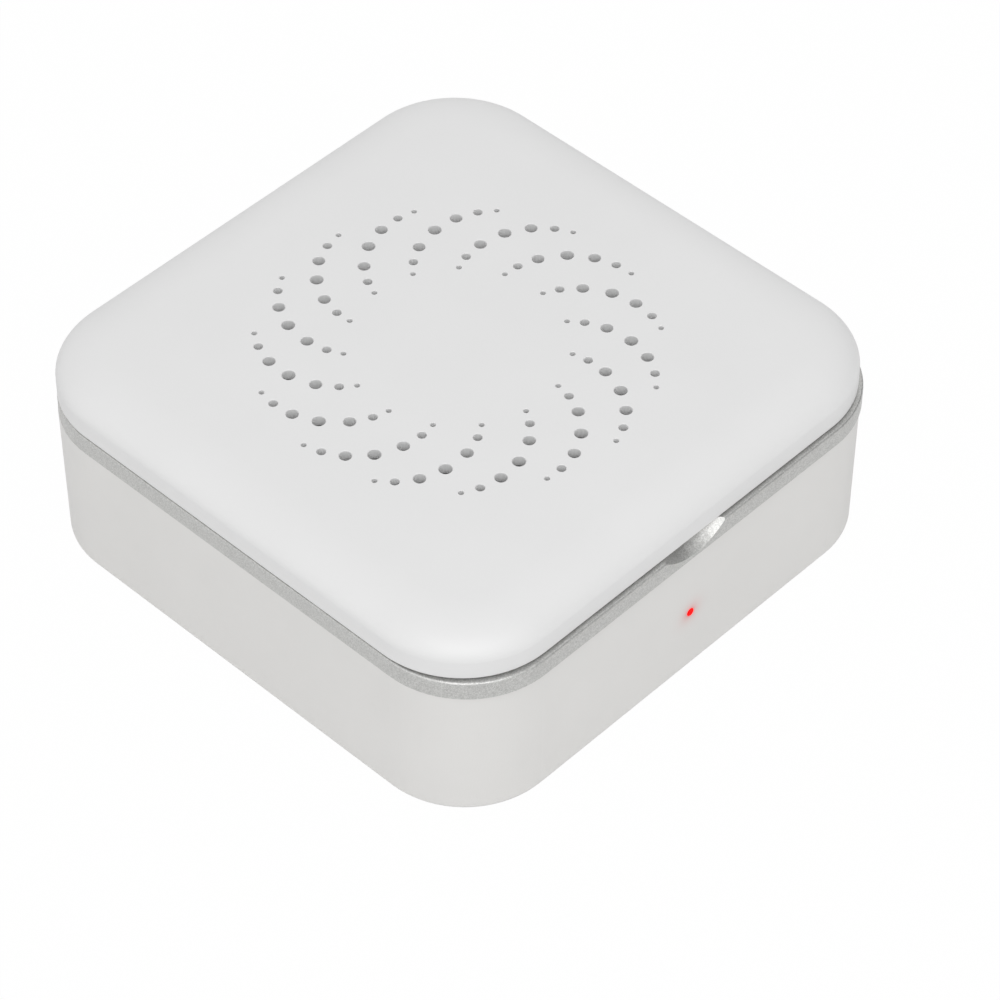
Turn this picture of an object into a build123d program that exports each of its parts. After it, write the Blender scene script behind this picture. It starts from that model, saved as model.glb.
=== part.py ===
from build123d import *
import math
import os

# Hearing aid dryer. Millimetres, +Z up, origin at the bottom centre, the front (status light) faces -Y.

# ---- Outer form -------------------------------------------------------------------------------
body_side = 110.0            # over the lid, the ring's sides and the base's top edge
ring_corner = 18.2           # plan corner radius of the ring
base_corner = 18.0
base_draft = 0.27            # degrees, the base narrows towards the bottom
base_bottom_round = 1.0
base_height = 28.6
base_wall = 2.2
floor_thickness = 2.4

ring_height = 3.7
ring_ledge = 0.5             # the ring's front stands out this far from the base
ring_wall = 1.8              # at the sides and the rear
ring_flange_thickness = 1.0
ring_flange_width = 2.2
ring_skirt_depth = 1.8
ring_skirt_thickness = 1.2
ring_edge_round = 0.4

lid_gap = 0.4                # dark line between ring and lid
lid_set_back = 0.3           # the lid stands this far to the rear, so more of the ring's ledge shows
lid_corner = 18.8
lid_wall_height = 3.6
lid_shoulder_width = 10.1
lid_shoulder_height = 4.5
lid_wall = 2.0
lid_roof = 2.2
lid_edge_round = 0.3

# ---- Feet and case screws ---------------------------------------------------------------------
foot_radius = 4.5
foot_stand = 0.4             # how far the feet hold the base off the table
foot_sunk = 1.2
foot_inset = 19.0            # foot centre from the base's side
foot_edge_round = 0.3

case_screw_inset = 11.0      # case screw centre from the base's side
case_screw_radius = 1.25
case_screw_head_radius = 2.4
case_screw_head_height = 1.6
case_screw_length = 16.0
case_screw_seat = 4.4        # floor's underside to the seat of the head
case_boss_radius = 4.0
case_boss_height = 9.2
post_radius = 3.5
screw_clearance = 0.15       # round a screw where it only passes through
thread_clearance = 0.03      # round a screw where its thread bites
hole_beyond = 0.4            # a screw's hole goes on past its end
driver_slot_width = 0.7
driver_slot_depth = 0.6
driver_slot_share = 0.75     # slot's length as a share of the head's width
screw_head_round = 0.4       # share of the head's height
screw_point = 0.4            # share of the shank's radius
beyond = 1.0                 # how far a cut runs past the face that it opens

# ---- Swirl of vent holes in the lid --------------------------------------------------------------
vent_arms = 15
vent_arc_centre = 20.9       # from the lid's middle to the centre of each arm's arc
vent_arc_radius = 15.3
vent_first_arm = -72.2       # degrees
vent_hole_angles = (115.4, 103.8, 88.5, 68.7, 50.3, 34.5, 21.7)
vent_hole_diameters = (0.97, 1.63, 2.22, 2.37, 2.22, 1.63, 0.97)
vent_edge_break = 0.1

# ---- Thumb scoop in the ring -----------------------------------------------------------------------
scoop_width = 15.1           # along the ring's top edge
scoop_drop = 2.9             # below the ring's top edge, on its face
scoop_reach = 4.4            # from the ring's face to its inner end, under the lid
scoop_wall = 1.4

# ---- Hinge -------------------------------------------------------------------------------------------
hinge_tab_width = 44.0
hinge_drop = 6.0             # axis below the lid's edge
hinge_barrel = 2.5           # barrel radius; the axis lies as far inside the rear face
hinge_pin_radius = 0.8
hinge_pin_length = 15.0
hinge_pin_in_tab = 8.0
hinge_running = 0.05         # pin in the tab's bore
hinge_press = 0.01           # pin in the base's cheek
hinge_side_gap = 0.3
hinge_back_gap = 0.3
hinge_opening = 105.0        # degrees
hinge_stop_gap = 0.12
hinge_cheek = 8.0
hinge_trough_wall = 1.5
hinge_relief = 0.1

# ---- Drying chamber --------------------------------------------------------------------------------
deck_thickness = 1.8
deck_gap = 0.15
chamber_width = 78.0
chamber_length = 62.0
chamber_corner = 10.0
chamber_depth = 14.0
chamber_y = 5.0
chamber_wall = 1.6
chamber_edge_round = 0.8
floor_opening_width = 57.0
floor_opening_length = 39.0
floor_opening_corner = 4.0

grille_gap = 0.25
grille_thickness = 1.2
grille_rib = 0.6             # ribs that stand up from the grille and let air under what lies there
grille_rib_width = 1.2
grille_rib_round = 0.3
grille_slot_length = 9.0
grille_slot_width = 1.8
grille_slot_columns = 5
grille_slot_rows = 9
grille_pitch_x = 12.0
grille_pitch_y = 4.4

seal_offset = 2.0            # chamber's edge to the seal
seal_width = 1.6
seal_sunk = 0.9
seal_stand = 1.5
seal_round = 0.55

# ---- Lid liner -------------------------------------------------------------------------------------
liner_gap = 0.3
liner_recess = 0.5           # lid's edge up to the liner's underside
liner_thickness = 1.4
liner_pan_width = 74.0
liner_pan_length = 58.0
liner_pan_corner = 9.0
liner_pan_rise = 2.4
liner_vent_rings = ((6.0, 6), (10.0, 10), (14.0, 14))   # radius and number of slots
liner_vent_width = 1.6
liner_vent_length = 3.4
lid_screw_inset = 13.0
lid_boss_radius = 3.0
lid_screw_radius = 1.0
lid_screw_head_radius = 1.9
lid_screw_head_height = 0.9
lid_screw_length = 4.6
bumper_radius = 2.0
bumper_gap = 0.3
bumper_round = 0.3
bumper_x = 40.0
bumper_inset = 9.5

# ---- Catch magnets and lid sensor ----------------------------------------------------------------
magnet_radius = 3.0
magnet_height = 2.0
magnet_x = 27.0
magnet_inset = 10.6          # from the base's front face
magnet_fit = 0.05
magnet_cup_wall = 1.1
sensor_size = 3.0
sensor_height = 1.2
sensor_x = -10.0
sensor_inset = 2.5           # from the switch board's front edge

# ---- Start button ------------------------------------------------------------------------------------
button_radius = 4.5
button_inset = 16.6          # from the base's front face
button_stand = 0.7
button_travel = 0.6
button_gap = 0.15
button_flange_radius = 5.6
button_flange_thickness = 1.0
button_flange_gap = 0.1
button_dish = 0.25
button_dish_radius = 3.2
button_edge_round = 0.4
button_stem_radius = 2.2
button_stem_length = 0.4
switch_side = 6.0
switch_height = 3.5
plunger_radius = 1.7
plunger_stand = 0.8
plunger_length = 1.6
plunger_clearance = 0.1
switch_board_width = 40.0
switch_board_length = 15.0
small_board_thickness = 1.0
switch_post_x = 16.5
switch_post_radius = 2.5

# ---- Fan ---------------------------------------------------------------------------------------------
fan_side = 40.0
fan_corner = 3.0
fan_height = 6.0
fan_bore_radius = 18.8
fan_screw_spacing = 32.0
fan_screw_radius = 1.3
fan_screw_head_radius = 2.4
fan_screw_head_height = 1.4
fan_screw_length = 8.4
fan_rib_thickness = 1.6      # ribs on the floor that carry the fan
fan_rib_length = 20.0
fan_blade_gap = 0.6
fan_blades = 7
fan_blade_thickness = 0.8
fan_blade_pitch = 38.0       # degrees
fan_hub_radius = 9.0
fan_hub_wall = 0.8
fan_hub_round = 0.5
fan_rotor_inset = 0.6        # rotor's face inside the frame's face
fan_rotor_height = 4.2
fan_strut_thickness = 0.8
fan_strut_width = 2.2
fan_shaft_radius = 0.75
fan_shaft_clearance = 0.03
fan_bearing_radius = 1.7
fan_tube_radius = 2.5
fan_end_gap = 0.3            # between what turns and what stands, along the shaft
fan_strut_turn = 20.0        # degrees
fan_magnet_thickness = 0.9
stator_radius = 6.6
stator_height = 1.6
stator_arm_width = 1.8
stator_tip = 0.9
coil_wall = 0.5
coil_gap = 0.05
stator_core_wall = 1.0

# ---- Air duct and heater ---------------------------------------------------------------------------
duct_height = 5.2
duct_plate = 1.0
duct_wall = 1.2
duct_margin = 2.5            # duct's outside beyond the well's floor opening
duct_corner = 3.0
duct_boss_radius = 2.6
duct_boss_height = 2.6
heater_cap_length = 4.8
heater_height = 3.6
heater_bar_width = 3.0
heater_fin_width = 6.5
heater_fin_thickness = 0.4
heater_fin_count = 24
heater_rail = 0.4
heater_lead_inset = 2.4
fuse_radius = 1.2
fuse_length = 9.0
fuse_cradle = 0.8
fuse_inset = 5.8             # duct's end wall to the fuse's middle

# ---- Ultraviolet lamps in the well's side walls ------------------------------------------------------
uv_window_width = 24.0
uv_window_height = 6.0
uv_window_margin = 1.5
uv_window_thickness = 1.2
uv_window_sunk = 0.8
uv_window_above_floor = 4.2
uv_board_width = 28.0
uv_board_height = 9.0
uv_led_side = 3.5
uv_led_height = 1.4
uv_led_pitch = 12.0
uv_led_gap = 0.4
uv_led_cup = 0.4             # depth of the lamp's window
uv_led_cup_radius = 1.1
uv_rib_thickness = 1.5
uv_rib_beyond = 1.0          # ribs reach past the board's back
uv_ledge = 2.0

# ---- Main board -------------------------------------------------------------------------------------
led_height = 14.6            # status light above the table
led_radius = 1.5
led_length = 4.2
led_dome = 1.2
led_foot = 1.0               # block at the light's back that stands on the board
light_guide_radius = 0.8
light_guide_flange_radius = 1.9
light_guide_flange = 0.9
light_guide_proud = 0.15
board_thickness = 1.6
board_width = 76.0
board_length = 18.0
board_corner = 2.0
board_front_gap = 4.6        # base's front wall to the board
board_screw_x = 33.0
board_boss_radius = 3.0
board_screw_radius = 1.0
board_screw_head_radius = 2.0
board_screw_head_height = 1.2
board_screw_length = 6.0
part_line = 1.0              # the parts' middles lie this far in front of the board's middle
chip_x = -2.0
chip_size = (10.0, 7.5, 1.8)
capacitor_xs = (-24.5, 25.0)
capacitor_inset = 0.6        # from the board's front edge
capacitor_radius = 3.5
capacitor_height = 7.5
inductor_x = -14.5
inductor_size = (8.0, 8.0, 4.0)
inductor_corner = 1.5
buzzer_x = 14.5
buzzer_hole = 1.0
buzzer_radius = 5.0
buzzer_height = 5.0
connector_size = (6.0, 5.5, 3.4)
uv_connector_x = 28.0        # one on each side
inlet_connector_x = -16.0
fan_connector_x = 0.0
heater_connector_x = 16.0
ribbon_x = 5.0
ribbon_behind_button = 5.0
ribbon_width = 6.0
ribbon_thickness = 0.8

# ---- Power inlet in the rear wall ------------------------------------------------------------------
inlet_board_width = 22.0
inlet_board_length = 14.0
inlet_board_height = 3.0     # board's underside above the floor
inlet_board_gap = 0.4        # to the rear wall
inlet_screw_inset = 2.4
inlet_post_radius = 2.2
socket_width = 9.0
socket_height = 3.2
socket_length = 7.6
socket_wall = 0.35
socket_back = 1.0
socket_tongue = 0.7
socket_tongue_width = 6.1
socket_tongue_gap = 1.2      # the tongue ends this far inside the mouth
socket_recess = 0.5
socket_clearance = 0.25
intake_slots = 6
intake_slot_width = 1.6
intake_slot_height = 9.0
intake_slot_pitch = 3.4
intake_slot_start = 17.0     # first slot from the middle
intake_slot_above_floor = 1.5
floor_slot_width = 1.8
floor_slot_pitch = 4.0
floor_slots = 8
floor_intake_radius = 16.5

wire_radius = 0.55
wire_hole_gap = 0.1
wire_gap = 1.6               # between the middles of the two leads of a pair
wire_start = 4.0             # straight out of a header
wire_floor_gap = 0.2
lead_above_board = 0.9
heater_wire_turn = 5.0       # in front of the duct
inlet_wire_beyond = 8.0      # clear of the fan
inlet_wire_end_x = -4.4
uv_wire_beyond = 4.7         # clear of the lamp board, towards the outer wall

# ---- Levels and faces worked out from the above ---------------------------------------------------
base_bottom = foot_stand
floor_top = base_bottom + floor_thickness
floor_middle = (base_bottom + floor_top) / 2
ring_bottom = base_bottom + base_height
ring_top = ring_bottom + ring_height
lid_bottom = ring_top + lid_gap
lid_shoulder = lid_bottom + lid_wall_height
lid_top = lid_shoulder + lid_shoulder_height
roof_underside = lid_top - lid_roof
roof_middle = lid_top - lid_roof / 2

body_half = body_side / 2
ring_front = -body_half - ring_ledge
base_inside = body_half - base_wall
base_inside_corner = base_corner - base_wall
lid_inside = body_half - lid_wall
lid_front = -body_half + lid_set_back
rear_face = body_half + lid_set_back

deck_bottom = ring_bottom + ring_flange_thickness
deck_top = deck_bottom + deck_thickness
deck_middle = (deck_bottom + deck_top) / 2
deck_half = body_half - ring_wall - deck_gap
well_floor = deck_top - chamber_depth
well_bottom = well_floor - chamber_wall
well_half_width = chamber_width / 2 + chamber_wall
duct_bottom = well_bottom - duct_height
fan_bottom = duct_bottom - fan_height
fan_tube_bottom = fan_bottom + fan_rotor_inset + fan_hub_wall + fan_end_gap
magnet_y = -body_half + magnet_inset

liner_bottom = lid_bottom + liner_recess
liner_top = liner_bottom + liner_thickness
pan_underside = liner_bottom + liner_pan_rise

hinge_y = rear_face - hinge_barrel
hinge_z = lid_bottom - hinge_drop
hinge_notch_half = hinge_tab_width / 2 + hinge_side_gap
hinge_back = hinge_y - hinge_barrel - hinge_back_gap
hinge_notch_x = (-hinge_notch_half, hinge_notch_half)
hinge_lean = math.radians(hinge_opening)
hinge_notch_floor = hinge_z - hinge_stop_gap - (
    hinge_barrel - (body_half - hinge_y) * math.cos(hinge_lean)
) / math.sin(hinge_lean)

case_screw_at = body_half - case_screw_inset
foot_at = body_half - foot_inset
case_boss_top = floor_top + case_boss_height

board_top = led_height - led_radius
board_bottom = board_top - board_thickness
board_front = -base_inside + board_front_gap
board_back = board_front + board_length
board_middle = (board_front + board_back) / 2

button_y = -body_half + button_inset
button_top = deck_top + button_stand
button_flange_top = deck_bottom - button_flange_gap
button_flange_bottom = button_flange_top - button_flange_thickness
plunger_top = button_flange_bottom - button_stem_length
switch_top = plunger_top - plunger_stand
switch_bottom = switch_top - switch_height
switch_board_bottom = switch_bottom - small_board_thickness

uv_board_face = well_half_width + uv_led_height + uv_led_gap
uv_middle = well_floor + uv_window_above_floor + uv_window_height / 2

inlet_screw_x = inlet_board_width / 2 - inlet_screw_inset
inlet_screw_y = base_inside - inlet_board_length + inlet_screw_inset
inlet_level = floor_top + inlet_board_height
socket_middle = inlet_level + small_board_thickness + socket_height / 2

MIN = (Align.CENTER, Align.CENTER, Align.MIN)
SIDES = (-1, 1)
CORNERS = tuple((i, j) for i in SIDES for j in SIDES)


# ---- Small helpers ------------------------------------------------------------------------------------
def plate(width, length, corner, bottom, top, y=0.0):
    """Level plate with rounded plan corners, from bottom to top."""
    return Pos(0, y, bottom) * extrude(RectangleRounded(width, length, corner), top - bottom)


def block(x, y, z):
    """Rectangular block between the two values given for each direction."""
    size = Box(x[1] - x[0], y[1] - y[0], z[1] - z[0])
    return Pos((x[0] + x[1]) / 2, (y[0] + y[1]) / 2, (z[0] + z[1]) / 2) * size


def post(x, y, radius, bottom, top):
    """Upright cylinder."""
    return Pos(x, y, bottom) * Cylinder(radius, top - bottom, align=MIN)


def rod_x(x, y, z, radius):
    """Cylinder along X between the two values of x."""
    return Pos((x[0] + x[1]) / 2, y, z) * Rot(0, 90, 0) * Cylinder(radius, x[1] - x[0])


def rod_y(x, y, z, radius):
    """Cylinder along Y between the two values of y."""
    return Pos(x, (y[0] + y[1]) / 2, z) * Rot(90, 0, 0) * Cylinder(radius, y[1] - y[0])


def top_edges(shape):
    return shape.faces().sort_by(Axis.Z)[-1].edges()


def bottom_edges(shape):
    return shape.faces().sort_by(Axis.Z)[0].edges()


def at_corners(distance, piece):
    """The piece at four places, each as far from the middle in X as in Y."""
    return [Pos(i * distance, j * distance, 0) * piece for i, j in CORNERS]


def both_sides(side, near, far):
    """Two values of X at the left or right side, lowest first."""
    return sorted((side * near, side * far))


def group(pieces):
    """Several separate solids of one kind, kept in one file."""
    solids = [solid for piece in pieces for solid in piece.solids()]
    return Compound(children=solids)


def wire(points, radius):
    """Lead along straight runs joined by tangent arcs, each as large as its two runs allow."""
    path_points = [Vector(*p) for p in points]
    bends = []
    for before, at, after in zip(path_points, path_points[1:], path_points[2:]):
        turn = math.radians((at - before).get_angle(after - at))
        shorter = min((at - before).length, (after - at).length)
        bends.append(0.45 * shorter / math.tan(turn / 2))
    route = FilletPolyline(*path_points, radius=bends)
    start = Plane(origin=path_points[0], z_dir=path_points[1] - path_points[0])
    return sweep(start * Circle(radius), path=route)


def screw(x, y, seat, length, radius, head_radius, head_height, up=True):
    """Screw with a slotted pan head; its shank goes up or down from the seat."""
    head = Cylinder(head_radius, head_height, align=MIN)
    head = fillet(top_edges(head), head_height * screw_head_round)
    slot_length = 2 * head_radius * driver_slot_share
    slot = Pos(0, 0, head_height) * Box(slot_length, driver_slot_width, 2 * driver_slot_depth)
    shank = Pos(0, 0, -length) * Cylinder(radius, length, align=MIN)
    shank = chamfer(bottom_edges(shank), radius * screw_point)
    turned = Rot(180, 0, 0) if up else Rot(0, 0, 0)
    return Pos(x, y, seat) * turned * (head - slot + shank)


# ---- Base shell, feet and case screws -----------------------------------------------------------------
def base_outside():
    narrowing = base_height * math.tan(math.radians(base_draft))
    side = 2 * (body_half - narrowing)
    outline = RectangleRounded(side, side, base_corner - narrowing)
    body = Pos(0, 0, base_bottom) * extrude(outline, base_height, taper=-base_draft)
    return fillet(bottom_edges(body), base_bottom_round)


def hinge_trough():
    """Pocket in the rear wall for the lid's tab, with a cheek at each end for the hinge pins."""
    reach = hinge_notch_half + hinge_cheek
    back = hinge_back - hinge_trough_wall
    floor = hinge_notch_floor - hinge_trough_wall
    return block((-reach, reach), (back, body_half - base_wall / 2), (floor, ring_bottom))


def intake_slot_cuts():
    bottom = floor_top + intake_slot_above_floor
    height = intake_slot_height
    cuts = []
    for side in SIDES:
        for i in range(intake_slots):
            x = side * (intake_slot_start + i * intake_slot_pitch)
            outline = SlotOverall(height, intake_slot_width, rotation=90)
            slot = extrude(Plane.XZ * outline, base_wall * 2, both=True)
            cuts.append(Pos(x, body_half, bottom + height / 2) * slot)
    return cuts


def floor_slot_cuts():
    """Parallel slots under the fan, their ends on a circle."""
    cuts = []
    for i in range(floor_slots):
        y = (i - (floor_slots - 1) / 2) * floor_slot_pitch
        length = 2 * math.sqrt(floor_intake_radius**2 - y**2)
        slot = extrude(SlotOverall(length, floor_slot_width), floor_thickness * 2, both=True)
        cuts.append(Pos(0, chamber_y + y, floor_top) * slot)
    return cuts


def base_shell():
    inside = plate(2 * base_inside, 2 * base_inside, base_inside_corner, floor_top, ring_bottom)
    shell = base_outside() - inside

    added = [hinge_trough()]
    boss = post(0, 0, case_boss_radius, floor_middle, case_boss_top)
    added += at_corners(case_screw_at, boss)
    for side in SIDES:
        added.append(post(side * board_screw_x, board_middle, board_boss_radius, floor_top, board_bottom))
        rib_x = both_sides(side, fan_side / 2 - fan_rib_thickness, fan_side / 2)
        rib_y = (chamber_y - fan_rib_length / 2, chamber_y + fan_rib_length / 2)
        added.append(block(rib_x, rib_y, (floor_top, fan_bottom)))
        added.append(post(side * inlet_screw_x, inlet_screw_y, inlet_post_radius, floor_top, inlet_level))
    shell = shell + added

    cuts = [block(hinge_notch_x, (hinge_back, rear_face + beyond), (hinge_notch_floor, ring_bottom + beyond))]
    seat = base_bottom + case_screw_seat
    head_hole = post(0, 0, case_screw_head_radius + screw_clearance, 0, seat)
    shank_hole = post(0, 0, case_screw_radius + screw_clearance, seat, case_boss_top)
    cuts += at_corners(case_screw_at, head_hole) + at_corners(case_screw_at, shank_hole)
    cuts += at_corners(foot_at, post(0, 0, foot_radius, 0, base_bottom + foot_sunk))
    for side in SIDES:
        bore = both_sides(side, hinge_notch_half, hinge_notch_half + hinge_cheek)
        cuts.append(rod_x(bore, hinge_y, hinge_z, hinge_pin_radius + hinge_press))
        hole_bottom = board_top - board_screw_length - hole_beyond
        pilot = board_screw_radius + thread_clearance
        cuts.append(post(side * board_screw_x, board_middle, pilot, hole_bottom, board_bottom))
        cuts.append(post(side * inlet_screw_x, inlet_screw_y, pilot, floor_top, inlet_level))
    light = (-body_half - beyond, -base_inside)
    cuts.append(rod_y(0, light, led_height, light_guide_radius))
    mouth = SlotOverall(socket_width + 2 * socket_clearance, socket_height + 2 * socket_clearance)
    mouth = extrude(Plane.XZ * mouth, base_wall + beyond, both=True)
    cuts.append(Pos(0, body_half, socket_middle) * mouth)
    cuts += intake_slot_cuts()
    cuts += floor_slot_cuts()
    return shell - cuts


def feet():
    foot = post(0, 0, foot_radius, 0, foot_stand + foot_sunk)
    foot = fillet(bottom_edges(foot), foot_edge_round)
    return group(at_corners(foot_at, foot))


def case_screws():
    seat = base_bottom + case_screw_seat
    sizes = (case_screw_length, case_screw_radius, case_screw_head_radius, case_screw_head_height)
    return group(at_corners(case_screw_at, screw(0, 0, seat, *sizes)))


# ---- Trim ring ---------------------------------------------------------------------------------------
def scoop_ball():
    """Ball that hollows out the thumb scoop: its cut on the ring's face is an arc."""
    half = scoop_width / 2
    face_radius = (half**2 + scoop_drop**2) / (2 * scoop_drop)
    above = face_radius - scoop_drop
    # in front of the ring's face by such a distance that it goes in under the lid by scoop_reach
    outside = (half**2 - scoop_reach**2) / (2 * scoop_reach)
    radius = math.hypot(face_radius, outside)
    return Pos(0, ring_front - outside, ring_top + above) * Sphere(radius)


def scoop_block_size(gap):
    half = scoop_width / 2 + scoop_wall + gap
    back = ring_front + scoop_reach + scoop_wall + gap
    return half, back


def trim_ring():
    length = body_side + ring_ledge
    body = plate(body_side, length, ring_corner, ring_bottom, ring_top, -ring_ledge / 2)
    body = fillet(top_edges(body), ring_edge_round)
    flange_top = ring_bottom + ring_flange_thickness
    inside = body_side - 2 * ring_wall
    body -= plate(inside, inside, ring_corner - ring_wall, flange_top, ring_top)
    narrow = inside - 2 * ring_flange_width
    body -= plate(narrow, narrow, ring_corner - ring_wall - ring_flange_width, ring_bottom, flange_top)

    skirt_side = 2 * (base_inside - deck_gap)
    skirt_corner = base_inside_corner - deck_gap
    skirt_bottom = ring_bottom - ring_skirt_depth
    skirt = plate(skirt_side, skirt_side, skirt_corner, skirt_bottom, ring_bottom)
    hollow = skirt_side - 2 * ring_skirt_thickness
    skirt -= plate(hollow, hollow, skirt_corner - ring_skirt_thickness, skirt_bottom, ring_bottom)
    cheek_half = hinge_notch_half + hinge_cheek + deck_gap
    skirt -= block((-cheek_half, cheek_half), (0, rear_face), (skirt_bottom - beyond, ring_bottom))

    half, back = scoop_block_size(0)
    thick = block((-half, half), (-body_half + ring_wall / 2, back), (ring_bottom, ring_top))
    body = body + skirt + thick - scoop_ball()
    notch = block(hinge_notch_x, (0, rear_face + beyond), (skirt_bottom - beyond, ring_top + beyond))
    return body - notch


# ---- Lid ----------------------------------------------------------------------------------------------
def soft_square(half, corner, bottom, shoulder, top, shoulder_width):
    """Square block with round plan corners and an elliptical shoulder up to its flat top."""
    sides = Polyline((0, top), (0, bottom), (corner, bottom), (corner, shoulder))
    centre = (corner - shoulder_width, shoulder)
    arc = EllipticalCenterArc(centre, shoulder_width, top - shoulder, 0, arc_size=90)
    lid = Line((corner - shoulder_width, top), (0, top))
    profile = make_face(Plane.XZ * (sides + arc + lid))
    straight = half - corner
    round_corner = revolve(profile, Axis.Z)
    side_bar = Pos(straight, 0, 0) * extrude(profile, straight, both=True)
    body = block((-straight, straight), (-straight, straight), (bottom, top))
    body += [Rot(0, 0, 90 * i) * side_bar for i in range(4)]
    body += [Pos(i * straight, j * straight, 0) * round_corner for i, j in CORNERS]
    return Pos(0, lid_set_back, 0) * body


def vent_cuts():
    """Arms of seven holes, each arm on an arc whose centre is away from the lid's middle."""
    cuts = []
    for arm in range(vent_arms):
        polar = vent_first_arm + arm * 360 / vent_arms
        centre = Vector(vent_arc_centre, 0, 0).rotate(Axis.Z, polar)
        for angle, diameter in zip(vent_hole_angles, vent_hole_diameters):
            at = centre + Vector(vent_arc_radius, 0, 0).rotate(Axis.Z, polar + angle)
            y = at.Y + lid_set_back
            cuts.append(post(at.X, y, diameter / 2, roof_underside - beyond, lid_top + beyond))
            rim = Cone(diameter / 2, diameter / 2 + 2 * vent_edge_break, 2 * vent_edge_break)
            cuts.append(Pos(at.X, y, lid_top) * rim)
    return cuts


def lid_screw_places():
    at = body_half - lid_screw_inset
    return [(i * at, j * at + lid_set_back) for i, j in CORNERS]


def lid_cover():
    outside = soft_square(body_half, lid_corner, lid_bottom, lid_shoulder, lid_top, lid_shoulder_width)
    outside = fillet(bottom_edges(outside), lid_edge_round)
    inner_corner = lid_corner - lid_wall
    shoulder_width = lid_shoulder_width - lid_wall
    inside = soft_square(lid_inside, inner_corner, lid_bottom, lid_shoulder, roof_underside, shoulder_width)
    cover = outside - inside
    cover += [post(x, y, lid_boss_radius, liner_top, roof_middle) for x, y in lid_screw_places()]

    # room for the ring's rear edge as the lid goes round the hinge
    sweep_radius = math.hypot(hinge_barrel, hinge_drop - lid_gap) + hinge_relief
    cover -= rod_x((-rear_face, rear_face), hinge_y, hinge_z, sweep_radius)

    tab_half = hinge_tab_width / 2
    tab = block((-tab_half, tab_half), (rear_face - lid_wall, rear_face), (hinge_z, lid_bottom + lid_wall))
    tab += rod_x((-tab_half, tab_half), hinge_y, hinge_z, hinge_barrel)
    cover += tab
    pilot = lid_screw_radius + thread_clearance
    cuts = [post(x, y, pilot, liner_top, liner_top + lid_screw_length) for x, y in lid_screw_places()]
    for side in SIDES:
        bore = sorted((side * tab_half, side * (tab_half - hinge_pin_in_tab - hinge_side_gap)))
        cuts.append(rod_x(bore, hinge_y, hinge_z, hinge_pin_radius + hinge_running))
    return cover - cuts - vent_cuts()


def hinge_pins():
    pins = []
    for side in SIDES:
        inner = hinge_tab_width / 2 - hinge_pin_in_tab
        ends = sorted((side * inner, side * (inner + hinge_pin_length)))
        pins.append(rod_x(ends, hinge_y, hinge_z, hinge_pin_radius))
    return group(pins)


def lid_liner():
    side = 2 * (lid_inside - liner_gap)
    corner = lid_corner - lid_wall - liner_gap
    liner = Pos(0, lid_set_back, 0) * plate(side, side, corner, liner_bottom, liner_top)
    pan = (liner_pan_width, liner_pan_length, liner_pan_corner)
    outside = (pan[0] + 2 * liner_thickness, pan[1] + 2 * liner_thickness, pan[2] + liner_thickness)
    raised = plate(*outside, liner_bottom, pan_underside + liner_thickness, chamber_y)
    liner += fillet(top_edges(raised), liner_thickness)
    hollow = plate(*pan, liner_bottom, pan_underside, chamber_y)
    liner -= fillet(top_edges(hollow), liner_thickness / 2)
    cup_top = liner_top + magnet_height
    cups = []
    cuts = []
    for side in SIDES:
        x = side * magnet_x
        cups.append(post(x, magnet_y, magnet_radius + magnet_cup_wall, liner_top, cup_top))
        cuts.append(post(x, magnet_y, magnet_radius + magnet_fit, liner_top, cup_top))
    for x, y in lid_screw_places():
        cuts.append(post(x, y, lid_screw_radius + screw_clearance, liner_bottom, liner_top))
        head = lid_screw_head_radius + screw_clearance
        cuts.append(post(x, y, head, liner_bottom, liner_bottom + liner_thickness / 2))
    outline = SlotOverall(liner_vent_length, liner_vent_width, rotation=90)
    slot = extrude(outline, 2 * liner_thickness, both=True)
    for radius, count in liner_vent_rings:
        for i in range(count):
            turned = Rot(0, 0, 360 * i / count) * Pos(radius, 0, 0) * slot
            cuts.append(Pos(0, chamber_y, pan_underside) * turned)
    return liner + cups - cuts


def lid_screws():
    seat = liner_bottom + liner_thickness / 2
    sizes = (lid_screw_length, lid_screw_radius, lid_screw_head_radius, lid_screw_head_height)
    return group(screw(x, y, seat, *sizes) for x, y in lid_screw_places())


def lid_magnets():
    magnet = post(0, magnet_y, magnet_radius, liner_top, liner_top + magnet_height)
    return group(Pos(i * magnet_x, 0, 0) * magnet for i in SIDES)


def lid_bumpers():
    y = lid_front + bumper_inset
    bottom = deck_top + bumper_gap
    pad = fillet(bottom_edges(post(0, y, bumper_radius, bottom, liner_bottom)), bumper_round)
    return group(Pos(i * bumper_x, 0, 0) * pad for i in SIDES)


# ---- Deck and drying well -----------------------------------------------------------------------------
def uv_window_cuts(side):
    """Opening in the well's side wall and the recess that the pane sits in."""
    half = uv_window_width / 2
    low = uv_middle - uv_window_height / 2
    opening = block(
        both_sides(side, chamber_width / 2 - beyond, well_half_width + beyond),
        (chamber_y - half, chamber_y + half),
        (low, low + uv_window_height),
    )
    seat = well_half_width - uv_window_sunk
    recess = block(
        both_sides(side, seat, well_half_width + beyond),
        (chamber_y - half - uv_window_margin, chamber_y + half + uv_window_margin),
        (low - uv_window_margin, low + uv_window_height + uv_window_margin),
    )
    return [opening, recess]


def uv_ribs(side):
    """Two ribs that hold a lamp board by its ends, with a ledge under it."""
    outer = uv_board_face + small_board_thickness + uv_rib_beyond
    x = both_sides(side, well_half_width - chamber_wall / 2, outer)
    half = uv_board_width / 2
    low = uv_middle - uv_board_height / 2
    ribs = []
    for end in SIDES:
        y = sorted((chamber_y + end * half, chamber_y + end * (half + uv_rib_thickness)))
        ribs.append(block(x, y, (low - uv_rib_thickness, deck_middle)))
        ledge = sorted((chamber_y + end * (half - uv_ledge), chamber_y + end * (half + uv_rib_thickness)))
        ribs.append(block(x, ledge, (low - uv_rib_thickness, low)))
    return ribs


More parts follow.
